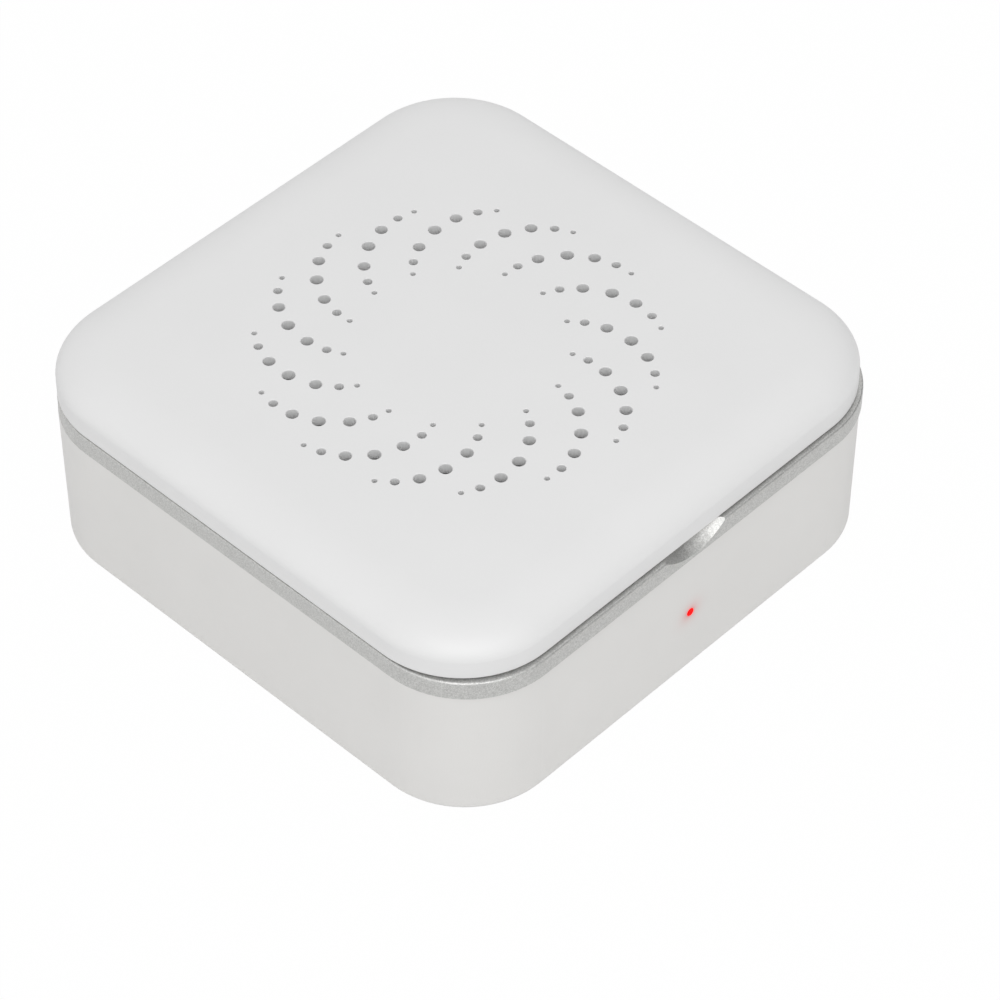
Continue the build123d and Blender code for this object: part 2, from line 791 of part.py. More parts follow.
def seal_loop(bottom, top):
    """Loop round the well's mouth, for the seal and for the groove it sits in."""
    wide = chamber_width + 2 * seal_offset
    long = chamber_length + 2 * seal_offset
    corner = chamber_corner + seal_offset
    outside = (wide + 2 * seal_width, long + 2 * seal_width, corner + seal_width)
    return plate(*outside, bottom, top, chamber_y) - plate(wide, long, corner, bottom, top, chamber_y)


def chamber_tub():
    tub = plate(2 * deck_half, 2 * deck_half, ring_corner - ring_wall - deck_gap, deck_bottom, deck_top)
    outer_width = chamber_width + 2 * chamber_wall
    outer_length = chamber_length + 2 * chamber_wall
    outer_corner = chamber_corner + chamber_wall
    added = [plate(outer_width, outer_length, outer_corner, well_bottom, deck_bottom, chamber_y)]
    added += at_corners(case_screw_at, post(0, 0, post_radius, case_boss_top, deck_middle))
    for side in SIDES:
        added.append(post(side * switch_post_x, button_y, switch_post_radius, switch_bottom, deck_middle))
        cup = magnet_radius + magnet_cup_wall
        added.append(post(side * magnet_x, magnet_y, cup, deck_bottom - magnet_height, deck_middle))
        added += uv_ribs(side)
    tub += added

    well = plate(chamber_width, chamber_length, chamber_corner, well_floor, deck_top, chamber_y)
    tub -= well
    mouth = tub.faces().filter_by(Plane.XY).sort_by(Axis.Z)[-1].inner_wires()[0]
    tub = fillet(mouth.edges(), chamber_edge_round)

    opening = (floor_opening_width, floor_opening_length, floor_opening_corner)
    cuts = [plate(*opening, well_bottom, well_floor, chamber_y)]
    cuts.append(seal_loop(deck_top - seal_sunk, deck_top))
    cuts.append(block(hinge_notch_x, (hinge_back, rear_face), (deck_bottom, deck_top)))
    half, back = scoop_block_size(deck_gap)
    cuts.append(block((-half, half), (ring_front, back), (deck_bottom, deck_top)))
    cuts.append(post(0, button_y, button_radius + button_gap, deck_bottom, deck_top))
    pilot = case_screw_radius + thread_clearance
    hole_top = base_bottom + case_screw_seat + case_screw_length + hole_beyond
    cuts += at_corners(case_screw_at, post(0, 0, pilot, case_boss_top, hole_top))
    for side in SIDES:
        pilot = board_screw_radius + thread_clearance
        hole_top = switch_board_bottom + board_screw_length + hole_beyond
        cuts.append(post(side * switch_post_x, button_y, pilot, switch_bottom, hole_top))
        pocket = magnet_radius + magnet_fit
        cuts.append(post(side * magnet_x, magnet_y, pocket, deck_bottom - magnet_height, deck_bottom))
        cuts += uv_window_cuts(side)
    return tub - cuts


def catch_magnets():
    magnet = post(0, magnet_y, magnet_radius, deck_bottom - magnet_height, deck_bottom)
    return group(Pos(i * magnet_x, 0, 0) * magnet for i in SIDES)


def chamber_grille():
    """Perforated floor panel of the well, held off its floor by the rim and by low ribs."""
    width = chamber_width - 2 * grille_gap
    length = chamber_length - 2 * grille_gap
    corner = chamber_corner - grille_gap
    top = well_floor + grille_thickness
    panel = plate(width, length, corner, well_floor, top, chamber_y)
    slot = extrude(SlotOverall(grille_slot_length, grille_slot_width), 2 * grille_thickness, both=True)
    slots = []
    for column in range(grille_slot_columns):
        for row in range(grille_slot_rows):
            x = (column - (grille_slot_columns - 1) / 2) * grille_pitch_x
            y = chamber_y + (row - (grille_slot_rows - 1) / 2) * grille_pitch_y
            slots.append(Pos(x, y, top) * slot)
    half = grille_rib_width / 2
    reach = grille_slot_rows * grille_pitch_y / 2
    rib = block((-half, half), (chamber_y - reach, chamber_y + reach), (well_floor, top + grille_rib))
    rib = fillet(top_edges(rib), grille_rib_round)
    ends = range(grille_slot_columns + 1)
    return panel - slots + [Pos((end - grille_slot_columns / 2) * grille_pitch_x, 0, 0) * rib for end in ends]


def lid_seal():
    seal = seal_loop(deck_top - seal_sunk, deck_top + seal_stand)
    return fillet(top_edges(seal), seal_round)


# ---- Ultraviolet lamps ----------------------------------------------------------------------------------
def uv_windows():
    panes = []
    for side in SIDES:
        seat = well_half_width - uv_window_sunk
        half = uv_window_width / 2 + uv_window_margin
        high = uv_window_height / 2 + uv_window_margin
        x = both_sides(side, seat, seat + uv_window_thickness)
        panes.append(block(x, (chamber_y - half, chamber_y + half), (uv_middle - high, uv_middle + high)))
    return group(panes)


def uv_boards():
    boards = []
    for side in SIDES:
        x = both_sides(side, uv_board_face, uv_board_face + small_board_thickness)
        half = uv_board_width / 2
        high = uv_board_height / 2
        boards.append(block(x, (chamber_y - half, chamber_y + half), (uv_middle - high, uv_middle + high)))
    return group(boards)


def uv_leds():
    lamps = []
    face = uv_board_face - uv_led_height
    half = uv_led_side / 2
    for side, end in CORNERS:
        y = chamber_y + end * uv_led_pitch / 2
        x = both_sides(side, face, uv_board_face)
        body = block(x, (y - half, y + half), (uv_middle - half, uv_middle + half))
        cup = both_sides(side, face, face + uv_led_cup)
        lamps.append(body - rod_x(cup, y, uv_middle, uv_led_cup_radius))
    return group(lamps)


# ---- Start button and its board ----------------------------------------------------------------------
def start_button():
    cap = post(0, button_y, button_radius, button_flange_bottom, button_top)
    cap = fillet(top_edges(cap), button_edge_round)
    ball = (button_dish_radius**2 + button_dish**2) / (2 * button_dish)
    cap -= Pos(0, button_y, button_top + ball - button_dish) * Sphere(ball)
    cap += post(0, button_y, button_flange_radius, button_flange_bottom, button_flange_top)
    cap += post(0, button_y, button_stem_radius, plunger_top, button_flange_top)
    return cap


def switch_plunger():
    return post(0, button_y, plunger_radius, plunger_top - plunger_length, plunger_top)


def tact_switch():
    half = switch_side / 2
    body = block((-half, half), (button_y - half, button_y + half), (switch_bottom, switch_top))
    well_depth = plunger_length - plunger_stand + button_travel + plunger_clearance
    bore = plunger_radius + plunger_clearance
    return body - post(0, button_y, bore, switch_top - well_depth, switch_top)


def switch_board():
    half = switch_board_width / 2
    long = switch_board_length / 2
    board = block((-half, half), (button_y - long, button_y + long), (switch_board_bottom, switch_bottom))
    hole = post(0, button_y, board_screw_radius + screw_clearance, switch_board_bottom, switch_bottom)
    return board - [Pos(i * switch_post_x, 0, 0) * hole for i in SIDES]


def lid_sensor():
    half = sensor_size / 2
    y = button_y - switch_board_length / 2 + sensor_inset
    x = (sensor_x - half, sensor_x + half)
    return block(x, (y - half, y + half), (switch_bottom, switch_bottom + sensor_height))


def switch_ribbon():
    """Flat lead between the two boards."""
    x = (ribbon_x, ribbon_x + ribbon_width)
    y = button_y + ribbon_behind_button
    return block(x, (y, y + ribbon_thickness), (board_top, switch_board_bottom))


# ---- Fan ------------------------------------------------------------------------------------------------
def fan_frame():
    frame = plate(fan_side, fan_side, fan_corner, fan_bottom, duct_bottom)
    frame -= post(0, 0, fan_bore_radius, fan_bottom, duct_bottom)
    strut_bottom = duct_bottom - fan_strut_thickness
    added = [post(0, 0, fan_hub_radius, strut_bottom, duct_bottom)]
    strut_y = (-fan_strut_width / 2, fan_strut_width / 2)
    strut = block((0, (fan_bore_radius + fan_side / 2) / 2), strut_y, (strut_bottom, duct_bottom))
    added += [Rot(0, 0, 90 * i + fan_strut_turn) * strut for i in range(4)]
    added.append(post(0, 0, fan_tube_radius, fan_tube_bottom, duct_bottom))
    frame += added
    frame -= post(0, 0, fan_bearing_radius, fan_tube_bottom, strut_bottom)
    hole = fan_screw_radius + screw_clearance
    pitch = fan_screw_spacing / 2
    frame -= at_corners(pitch, post(0, 0, hole, fan_bottom, duct_bottom))
    return Pos(0, chamber_y, 0) * frame


def fan_bearing():
    top = duct_bottom - fan_strut_thickness
    sleeve = post(0, chamber_y, fan_bearing_radius, fan_tube_bottom, top)
    return sleeve - post(0, chamber_y, fan_shaft_radius + fan_shaft_clearance, fan_tube_bottom, top)


def fan_shaft():
    bottom = fan_bottom + fan_rotor_inset
    top = duct_bottom - fan_strut_thickness - fan_end_gap
    return post(0, chamber_y, fan_shaft_radius, bottom, top)


def fan_rotor():
    bottom = fan_bottom + fan_rotor_inset
    top = bottom + fan_rotor_height
    hub = post(0, 0, fan_hub_radius, bottom, top)
    hub = fillet(bottom_edges(hub), fan_hub_round)
    hub -= post(0, 0, fan_hub_radius - fan_hub_wall, bottom + fan_hub_wall, top)
    tip = fan_bore_radius - fan_blade_gap
    ring = post(0, 0, tip, bottom, top) - post(0, 0, fan_hub_radius - fan_hub_wall / 2, bottom, top)
    chord = 2 * fan_rotor_height / math.sin(math.radians(fan_blade_pitch))
    blades = []
    for i in range(fan_blades):
        tilted = Rot(90 - fan_blade_pitch, 0, 0) * Box(tip, fan_blade_thickness, chord)
        blade = Pos(tip / 2, 0, (bottom + top) / 2) * tilted & ring
        blades.append(Rot(0, 0, 360 * i / fan_blades) * blade)
    rotor = hub + blades - post(0, 0, fan_shaft_radius, bottom, top)
    return Pos(0, chamber_y, 0) * rotor


def fan_magnet():
    bottom = fan_bottom + fan_rotor_inset + fan_hub_wall
    top = fan_bottom + fan_rotor_inset + fan_rotor_height - fan_end_gap
    outer = fan_hub_radius - fan_hub_wall
    ring = post(0, chamber_y, outer, bottom, top)
    return ring - post(0, chamber_y, outer - fan_magnet_thickness, bottom, top)


def stator_levels():
    top = duct_bottom - fan_strut_thickness - coil_wall - fan_end_gap
    return top - stator_height, top


def fan_stator():
    bottom, top = stator_levels()
    core = post(0, 0, fan_tube_radius + stator_core_wall, bottom, top)
    arm = block((0, stator_radius), (-stator_arm_width / 2, stator_arm_width / 2), (bottom, top))
    rim = post(0, 0, stator_radius, bottom, top) - post(0, 0, stator_radius - stator_tip, bottom, top)
    tip = rim & block((0, stator_radius), (-stator_radius / 2, stator_radius / 2), (bottom, top))
    core += [Rot(0, 0, 90 * i) * (arm + tip) for i in range(4)]
    return Pos(0, chamber_y, 0) * (core - post(0, 0, fan_tube_radius, bottom, top))


def fan_coils():
    bottom, top = stator_levels()
    inner = fan_tube_radius + stator_core_wall + coil_gap
    half = stator_arm_width / 2
    outer = math.sqrt((stator_radius - stator_tip) ** 2 - (half + coil_wall) ** 2) - coil_gap
    wide = half + coil_wall
    coil = block((inner, outer), (-wide, wide), (bottom - coil_wall, top + coil_wall))
    coil -= block((inner, outer), (-half, half), (bottom, top))
    return group(Pos(0, chamber_y, 0) * Rot(0, 0, 90 * i) * coil for i in range(4))


def fan_screws():
    pitch = fan_screw_spacing / 2
    sizes = (fan_screw_length, fan_screw_radius, fan_screw_head_radius, fan_screw_head_height)
    return group(at_corners(pitch, screw(0, chamber_y, fan_bottom, *sizes)))


# ---- Air duct and heater -------------------------------------------------------------------------------
duct_width = floor_opening_width + 2 * duct_margin
duct_length = floor_opening_length + 2 * duct_margin
heater_rows = 3 * heater_fin_width + 2 * heater_bar_width
heater_bottom = duct_bottom + duct_plate
duct_end = duct_width / 2 - duct_wall
heater_length = 2 * (duct_end - heater_cap_length)
heater_lead_x = duct_end - heater_lead_inset
fuse_x = -(duct_end - fuse_inset)


def air_duct():
    plate_top = duct_bottom + duct_plate
    duct = plate(duct_width, duct_length, duct_corner, duct_bottom, well_bottom)
    inner = (duct_width - 2 * duct_wall, duct_length - 2 * duct_wall, duct_corner - duct_wall)
    duct -= plate(*inner, plate_top, well_bottom)
    duct -= post(0, 0, fan_bore_radius, duct_bottom, plate_top)
    pitch = fan_screw_spacing / 2
    duct += at_corners(pitch, post(0, 0, duct_boss_radius, duct_bottom, plate_top + duct_boss_height))
    cradle_y = heater_rows / 2 + 2 * fuse_radius
    cradle_x = (fuse_x - fuse_length / 2, fuse_x + fuse_length / 2)
    cradle_top = heater_bottom + heater_height / 2
    duct += block(cradle_x, (cradle_y, cradle_y + fuse_cradle), (duct_bottom, cradle_top + fuse_radius))
    duct += block(cradle_x, (heater_rows / 2, cradle_y), (duct_bottom, cradle_top - fuse_radius))
    pilot = fan_screw_radius + thread_clearance
    cuts = at_corners(pitch, post(0, 0, pilot, duct_bottom, plate_top + duct_boss_height))
    front_wall = (-duct_length / 2, -duct_length / 2 + duct_wall)
    for lead in SIDES:
        z = heater_bottom + heater_height / 2 + lead * wire_gap / 2
        cuts.append(rod_y(heater_lead_x, front_wall, z, wire_radius + wire_hole_gap))
    return Pos(0, chamber_y, 0) * (duct - cuts)


def heater_bars():
    pitch = (heater_fin_width + heater_bar_width) / 2
    half = heater_length / 2
    bars = []
    for side in SIDES:
        y = chamber_y + side * pitch
        bar = block((-half, half), (y - heater_bar_width / 2, y + heater_bar_width / 2),
                    (heater_bottom, heater_bottom + heater_height))
        bars.append(bar)
    return group(bars)


def heater_fins():
    half = heater_length / 2
    pitch = (heater_length - heater_fin_thickness) / (heater_fin_count - 1)
    levels = (heater_bottom, heater_bottom + heater_height)
    packs = []
    for row in (-1, 0, 1):
        y = chamber_y + row * (heater_fin_width + heater_bar_width)
        low = y - heater_fin_width / 2
        high = y + heater_fin_width / 2
        pack = block((-half, half), (low, low + heater_rail), levels)
        pieces = [block((-half, half), (high - heater_rail, high), levels)]
        for i in range(heater_fin_count):
            x = -half + i * pitch
            pieces.append(block((x, x + heater_fin_thickness), (low, high), levels))
        packs.append(pack + pieces)
    return group(packs)


def heater_caps():
    """Heat-proof ends that hold the bars and fins between the duct's end walls."""
    inner = heater_length / 2
    half = heater_rows / 2
    levels = (heater_bottom, heater_bottom + heater_height)
    y = (chamber_y - half, chamber_y + half)
    return group(block(both_sides(side, inner, duct_end), y, levels) for side in SIDES)


def thermal_fuse():
    y = chamber_y + heater_rows / 2 + fuse_radius
    x = (fuse_x - fuse_length / 2, fuse_x + fuse_length / 2)
    fuse = rod_x(x, y, heater_bottom + heater_height / 2, fuse_radius)
    return fillet(fuse.edges().filter_by(GeomType.CIRCLE), fuse_radius / 4)


# ---- Main board -----------------------------------------------------------------------------------------
def main_board():
    board = plate(board_width, board_length, board_corner, board_bottom, board_top, board_middle)
    hole = board_screw_radius + screw_clearance
    return board - [post(i * board_screw_x, board_middle, hole, board_bottom, board_top) for i in SIDES]


def board_screws():
    sizes = (board_screw_radius, board_screw_head_radius, board_screw_head_height)
    long = (board_screw_length, *sizes)
    short = (inlet_board_height, *sizes)
    inlet_seat = inlet_level + small_board_thickness
    screws = []
    for side in SIDES:
        screws.append(screw(side * board_screw_x, board_middle, board_top, *long, up=False))
        screws.append(screw(side * switch_post_x, button_y, switch_board_bottom, *long))
        screws.append(screw(side * inlet_screw_x, inlet_screw_y, inlet_seat, *short, up=False))
    return group(screws)


def board_part(size, x):
    """Rectangular part that stands on the main board."""
    width, length, height = size
    return Pos(x, board_middle - part_line, board_top) * Box(width, length, height, align=MIN)


def control_chip():
    return board_part(chip_size, chip_x)


def power_inductor():
    body = board_part(inductor_size, inductor_x)
    return fillet(body.edges().filter_by(Axis.Z), inductor_corner)


def board_capacitors():
    y = board_front + capacitor_radius + capacitor_inset
    can = post(0, y, capacitor_radius, board_top, board_top + capacitor_height)
    can = fillet(top_edges(can), capacitor_radius / 6)
    return group(Pos(x, 0, 0) * can for x in capacitor_xs)


def buzzer():
    y = board_front + buzzer_radius + capacitor_inset
    top = board_top + buzzer_height
    body = fillet(top_edges(post(buzzer_x, y, buzzer_radius, board_top, top)), buzzer_radius / 10)
    return body - post(buzzer_x, y, buzzer_hole, top - buzzer_hole, top)


def wire_connectors():
    """White wire-to-board headers along the board's rear edge."""
    header = Pos(0, board_back - connector_size[1] / 2, board_top) * Box(*connector_size, align=MIN)
    places = (-uv_connector_x, inlet_connector_x, fan_connector_x, heater_connector_x, uv_connector_x)
    return group(Pos(x, 0, 0) * header for x in places)


def status_led():
    face = -base_inside + light_guide_flange
    body = rod_y(0, (face, face + led_length), led_height, led_radius)
    dome = body.edges().filter_by(GeomType.CIRCLE).sort_by(Axis.Y)[0]
    body = fillet(dome, led_dome)
    foot = (face + led_length - led_foot, face + led_length)
    return body + block((-led_radius, led_radius), foot, (board_top, led_height))


def light_guide():
    wall = -base_inside
    drop = (ring_bottom - led_height) * math.tan(math.radians(base_draft))
    face = -(body_half - drop) - light_guide_proud
    guide = rod_y(0, (face, wall), led_height, light_guide_radius)
    front = guide.edges().filter_by(GeomType.CIRCLE).sort_by(Axis.Y)[0]
    guide = fillet(front, light_guide_proud)
    return guide + rod_y(0, (wall, wall + light_guide_flange), led_height, light_guide_flange_radius)


# ---- Power inlet ----------------------------------------------------------------------------------------
def inlet_board():
    half = inlet_board_width / 2
    y = (base_inside - inlet_board_length, base_inside - inlet_board_gap)
    levels = (inlet_level, inlet_level + small_board_thickness)
    hole = post(0, inlet_screw_y, board_screw_radius + screw_clearance, *levels)
    return block((-half, half), y, levels) - [Pos(i * inlet_screw_x, 0, 0) * hole for i in SIDES]


def usb_socket():
    front = body_half - socket_recess
    outline = SlotOverall(socket_width, socket_height)
    body = extrude(Plane.XZ * outline, -socket_length)
    hollow = SlotOverall(socket_width - 2 * socket_wall, socket_height - 2 * socket_wall)
    body -= Pos(0, socket_back, 0) * extrude(Plane.XZ * hollow, -socket_length)
    tongue = Pos(0, (socket_length - socket_tongue_gap) / 2, 0) * Box(
        socket_tongue_width, socket_length - socket_tongue_gap, socket_tongue)
    return Pos(0, front - socket_length, socket_middle) * (body + tongue)


# ---- Leads ----------------------------------------------------------------------------------------------
def lead_pair(points, spread):
    """Two parallel leads, set apart along the direction of spread."""
    leads = []
    for side in SIDES:
        shift = Vector(*spread) * (side * wire_gap / 2)
        leads.append(wire([Vector(*p) + shift for p in points], wire_radius))
    return group(leads)


lead_level = board_top + lead_above_board
floor_lead_level = floor_top + wire_radius + wire_gap / 2 + wire_floor_gap


def fan_wires():
    x = fan_connector_x
    end = chamber_y - fan_side / 2
    low = fan_bottom + fan_height / 2
    points = [
        (x, board_back, lead_level),
        (x, board_back + wire_start, lead_level),
        (x, end - wire_start, low),
        (x, end, low),
    ]
    return lead_pair(points, (1, 0, 0))


def heater_wires():
    """Through the duct's front wall to the heater's end cap."""
    x = heater_connector_x
    end = chamber_y - heater_rows / 2
    level = heater_bottom + heater_height / 2
    points = [
        (x, board_back, lead_level),
        (x, board_back + wire_start, lead_level),
        (heater_lead_x, chamber_y - duct_length / 2 - heater_wire_turn, level),
        (heater_lead_x, end, level),
    ]
    return lead_pair(points, (0, 0, 1))


def inlet_wires():
    """Along the floor beside the fan, from the main board to the inlet board at the back."""
    x = inlet_connector_x
    end_level = inlet_level + small_board_thickness / 2
    side_x = -(fan_side / 2 + inlet_wire_beyond)
    rear = base_inside - inlet_board_length
    points = [
        (x, board_back, lead_level),
        (x, board_back + wire_start, lead_level),
        (side_x, chamber_y - fan_side / 2, floor_lead_level),
        (side_x, chamber_y + fan_side / 2, floor_lead_level),
        (inlet_wire_end_x, rear - wire_start, end_level),
        (inlet_wire_end_x, rear, end_level),
    ]
    return lead_pair(points, (0, 0, 1))


def uv_wires():
    """Round the well's front corners to the back of each lamp board."""
    back = uv_board_face + small_board_thickness
    outside = back + uv_wire_beyond
    board_end = chamber_y - uv_board_width / 2
    pairs = []
    for side in SIDES:
        x = side * uv_connector_x
        points = [
            (x, board_back, lead_level),
            (x, board_back + wire_start, lead_level),
            (side * back, board_end - 2 * uv_wire_beyond, lead_level),
            (side * outside, board_end, uv_middle - uv_window_height / 2),
            (side * outside, chamber_y - uv_led_pitch / 4, uv_middle),
            (side * back, chamber_y - uv_led_pitch / 4, uv_middle),
        ]
        pairs.append(lead_pair(points, (0, 0, 1)))
    return group(pairs)


# ---- Write each piece to its own file -----------------------------------------------------------------
PIECES = {
    "base_shell": base_shell,
    "feet": feet,
    "case_screws": case_screws,
    "trim_ring": trim_ring,
    "lid_cover": lid_cover,
    "lid_liner": lid_liner,
    "lid_screws": lid_screws,
    "lid_magnets": lid_magnets,
    "lid_bumpers": lid_bumpers,
    "hinge_pins": hinge_pins,
    "chamber_tub": chamber_tub,
    "chamber_grille": chamber_grille,
    "lid_seal": lid_seal,
    "catch_magnets": catch_magnets,
    "uv_windows": uv_windows,
    "uv_boards": uv_boards,
    "uv_leds": uv_leds,
    "start_button": start_button,
    "switch_plunger": switch_plunger,
    "tact_switch": tact_switch,
    "switch_board": switch_board,
    "switch_ribbon": switch_ribbon,
    "lid_sensor": lid_sensor,
    "fan_frame": fan_frame,
    "fan_bearing": fan_bearing,
    "fan_shaft": fan_shaft,
    "fan_rotor": fan_rotor,
    "fan_magnet": fan_magnet,
    "fan_stator": fan_stator,
    "fan_coils": fan_coils,
    "fan_screws": fan_screws,
    "fan_wires": fan_wires,
    "air_duct": air_duct,
    "heater_bars": heater_bars,
    "heater_fins": heater_fins,
    "heater_caps": heater_caps,
    "heater_wires": heater_wires,
    "thermal_fuse": thermal_fuse,
    "main_board": main_board,
    "board_screws": board_screws,
    "control_chip": control_chip,
    "power_inductor": power_inductor,
    "board_capacitors": board_capacitors,
    "buzzer": buzzer,
    "wire_connectors": wire_connectors,
    "status_led": status_led,
    "light_guide": light_guide,
    "inlet_board": inlet_board,
    "usb_socket": usb_socket,
    "inlet_wires": inlet_wires,
    "uv_wires": uv_wires,
}

os.makedirs("parts", exist_ok=True)
for name, make in PIECES.items():
    export_step(make(), "parts/" + name + ".step")
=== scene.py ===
import math

import bmesh
import bpy
from mathutils import Matrix, Vector


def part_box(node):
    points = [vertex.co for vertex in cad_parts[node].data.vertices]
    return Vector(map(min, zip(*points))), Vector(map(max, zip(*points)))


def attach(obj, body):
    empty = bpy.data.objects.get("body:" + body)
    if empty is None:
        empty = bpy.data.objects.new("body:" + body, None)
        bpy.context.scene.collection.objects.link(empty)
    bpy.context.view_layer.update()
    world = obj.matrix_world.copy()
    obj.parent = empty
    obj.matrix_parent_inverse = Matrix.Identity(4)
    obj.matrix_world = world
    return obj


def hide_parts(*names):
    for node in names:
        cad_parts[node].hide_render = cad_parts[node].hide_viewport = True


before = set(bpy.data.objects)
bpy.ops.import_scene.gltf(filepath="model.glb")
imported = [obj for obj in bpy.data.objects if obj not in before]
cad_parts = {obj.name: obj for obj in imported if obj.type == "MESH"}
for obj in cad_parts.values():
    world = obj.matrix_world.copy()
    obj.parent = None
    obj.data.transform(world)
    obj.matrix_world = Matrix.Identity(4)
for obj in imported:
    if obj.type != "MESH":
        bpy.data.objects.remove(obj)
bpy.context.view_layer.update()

# ---- Camera ------------------------------------------------------------------------------------------
# Stands far off, above the corner between the left and the front side, with a long lens, so that the
# dryer's sides run almost parallel. Angles in degrees, lengths in metres.
camera_azimuth = -46.393
camera_elevation = 45.984
camera_roll = 0.194
camera_distance = 0.7253
camera_target = Vector((0.00555, -0.00455, 0.00193))
sensor_width = 36.0          # millimetres, as the lens
lens = 144.77


def direction(azimuth, elevation):
    """From the object towards a place seen at that azimuth and elevation; azimuth 0 is in front."""
    a = math.radians(azimuth)
    e = math.radians(elevation)
    return Vector((math.sin(a) * math.cos(e), -math.cos(a) * math.cos(e), math.sin(e)))


def look_from(thing, azimuth, elevation, distance, target, roll=0.0):
    """Puts a camera or lamp at that distance from the target, looking at it."""
    tilt = Matrix.Rotation(math.radians(90 - elevation), 3, "X")
    turn = Matrix.Rotation(math.radians(azimuth), 3, "Z")
    thing.location = target + direction(azimuth, elevation) * distance
    thing.rotation_euler = (turn @ tilt @ Matrix.Rotation(math.radians(roll), 3, "Z")).to_euler()


bpy.ops.object.camera_add()
camera = bpy.context.object
camera.name = "camera"
camera.data.sensor_width = sensor_width
camera.data.lens = lens
look_from(camera, camera_azimuth, camera_elevation, camera_distance, camera_target, camera_roll)
bpy.context.scene.camera = camera
bpy.context.scene.view_settings.view_transform = "Standard"


# ---- Floor and light -----------------------------------------------------------------------------------
# White paper sweep under one large soft box beside the camera, in a room whose white walls give most of
# the light. What the camera and reflections see of paper and room is plain white, but for an open doorway
# low on the right, whose dim reflection draws a line along shiny edges.
room_level = 0.72
softbox_azimuth = -43.0
softbox_elevation = 52.0
softbox_distance = 1.05
softbox_side = 0.83
softbox_watts = 4.3
paper_white = 0.80
paper_shown_plain = 0.985    # the rest of what is seen of the paper is its lit surface, with shadows
paper_mirrored_plain = 0.5   # the same for what metal mirrors, so that it shows the object's soft shadow
floor_side = 6.0
doorway_azimuth = 55.0
doorway_elevation = 6.0
doorway_middle = 30.0        # degrees from its centre up to which it is fully dim
doorway_edge = 58.0          # degrees from its centre at which it has faded out
doorway_dimness = 0.95


def add_node(tree, kind, settings=None, sockets=None):
    """One shader node with its settings. A socket given another node's socket is linked to it."""
    node = tree.nodes.new("ShaderNode" + kind)
    for name, value in (settings or {}).items():
        setattr(node, name, value)
    for name, value in (sockets or {}).items():
        if isinstance(value, bpy.types.NodeSocket):
            tree.links.new(value, node.inputs[name])
        else:
            node.inputs[name].default_value = value
    return node


def seen_directly(tree):
    """1 on rays from the camera, from a mirror and through glass, 0 on rays that light a surface."""
    path = add_node(tree, "LightPath").outputs
    shine = add_node(tree, "Math", {"operation": "MAXIMUM"}, {0: path["Is Camera Ray"], 1: path["Is Glossy Ray"]})
    return add_node(
        tree, "Math", {"operation": "MAXIMUM"}, {0: shine.outputs[0], 1: path["Is Transmission Ray"]}
    ).outputs[0]


world = bpy.data.worlds.new("white_room")
world.use_nodes = True
bpy.context.scene.world = world
tree = world.node_tree
aim = add_node(tree, "TexCoord").outputs["Generated"]
doorway = direction(doorway_azimuth, doorway_elevation)
nearness = add_node(tree, "VectorMath", {"operation": "DOT_PRODUCT"}, {0: aim, 1: doorway}).outputs["Value"]
dimmed = add_node(
    tree, "MapRange", {}, {
        "Value": nearness, "From Min": math.cos(math.radians(doorway_edge)),
        "From Max": math.cos(math.radians(doorway_middle)), "To Min": 0.0, "To Max": doorway_dimness,
    }
).outputs[0]
mirrored = add_node(tree, "LightPath").outputs["Is Glossy Ray"]
taken = add_node(tree, "Math", {"operation": "MULTIPLY"}, {0: dimmed, 1: mirrored}).outputs[0]
level = add_node(
    tree, "MapRange", {}, {"Value": seen_directly(tree), "To Min": room_level, "To Max": 1.0}
).outputs[0]
strength = add_node(tree, "Math", {"operation": "SUBTRACT"}, {0: level, 1: taken}).outputs[0]
tree.links.new(strength, tree.nodes["Background"].inputs["Strength"])
tree.nodes["Background"].inputs["Color"].default_value = (1.0, 1.0, 1.0, 1.0)

bpy.ops.object.light_add(type="AREA")
softbox = bpy.context.object
softbox.name = "softbox"
softbox.data.energy = softbox_watts
softbox.data.size = softbox_side
look_from(softbox, softbox_azimuth, softbox_elevation, softbox_distance, Vector((0.0, 0.0, 0.02)))

bpy.ops.mesh.primitive_plane_add(size=floor_side)
floor = bpy.context.object
floor.name = "paper_floor"
paper = bpy.data.materials.new("white_paper")
paper.use_nodes = True
tree = paper.node_tree
lit = add_node(tree, "BsdfDiffuse", {}, {"Color": (paper_white, paper_white, paper_white, 1.0)})
plain = add_node(tree, "Emission", {}, {"Color": (1.0, 1.0, 1.0, 1.0)})
mirrored = add_node(tree, "LightPath").outputs["Is Glossy Ray"]
level = add_node(
    tree, "MapRange", {}, {"Value": mirrored, "To Min": paper_shown_plain, "To Max": paper_mirrored_plain}
).outputs[0]
share = add_node(tree, "Math", {"operation": "MULTIPLY"}, {0: seen_directly(tree), 1: level})
shown = add_node(tree, "MixShader", {}, {0: share.outputs[0], 1: lit.outputs[0], 2: plain.outputs[0]})
tree.links.new(shown.outputs[0], tree.nodes["Material Output"].inputs["Surface"])
floor.data.materials.append(paper)


# ---- Base shell ------------------------------------------------------------------------------------------
# One deep moulding in white ABS with a fine spark-eroded grain. Round the small window a red glow is painted into
# the plastic's colour, painted light that stands for the status lamp shining through its front wall.
MM = 0.001
base_white = "#E1E0DE"
base_white_shade = "#DCDBD9"
flow_drift = 18 * MM
eroded_grain = 0.32 * MM     # the real grain is about 0.1 mm, too fine to show
eroded_height = 0.012 * MM
painted_glow_red = "#E00A08"
painted_glow_reach = 0.9 * MM        # the painted glow falls to a third over each such step
painted_glow_depth = 1.2             # painted glow at the window's middle, where it is cut off at 1


def linear(code):
    """Linear RGBA of an sRGB hex colour."""
    channels = [int(code[i:i + 2], 16) / 255 for i in (1, 3, 5)]
    return (*[c / 12.92 if c <= 0.04045 else ((c + 0.055) / 1.055) ** 2.4 for c in channels], 1.0)


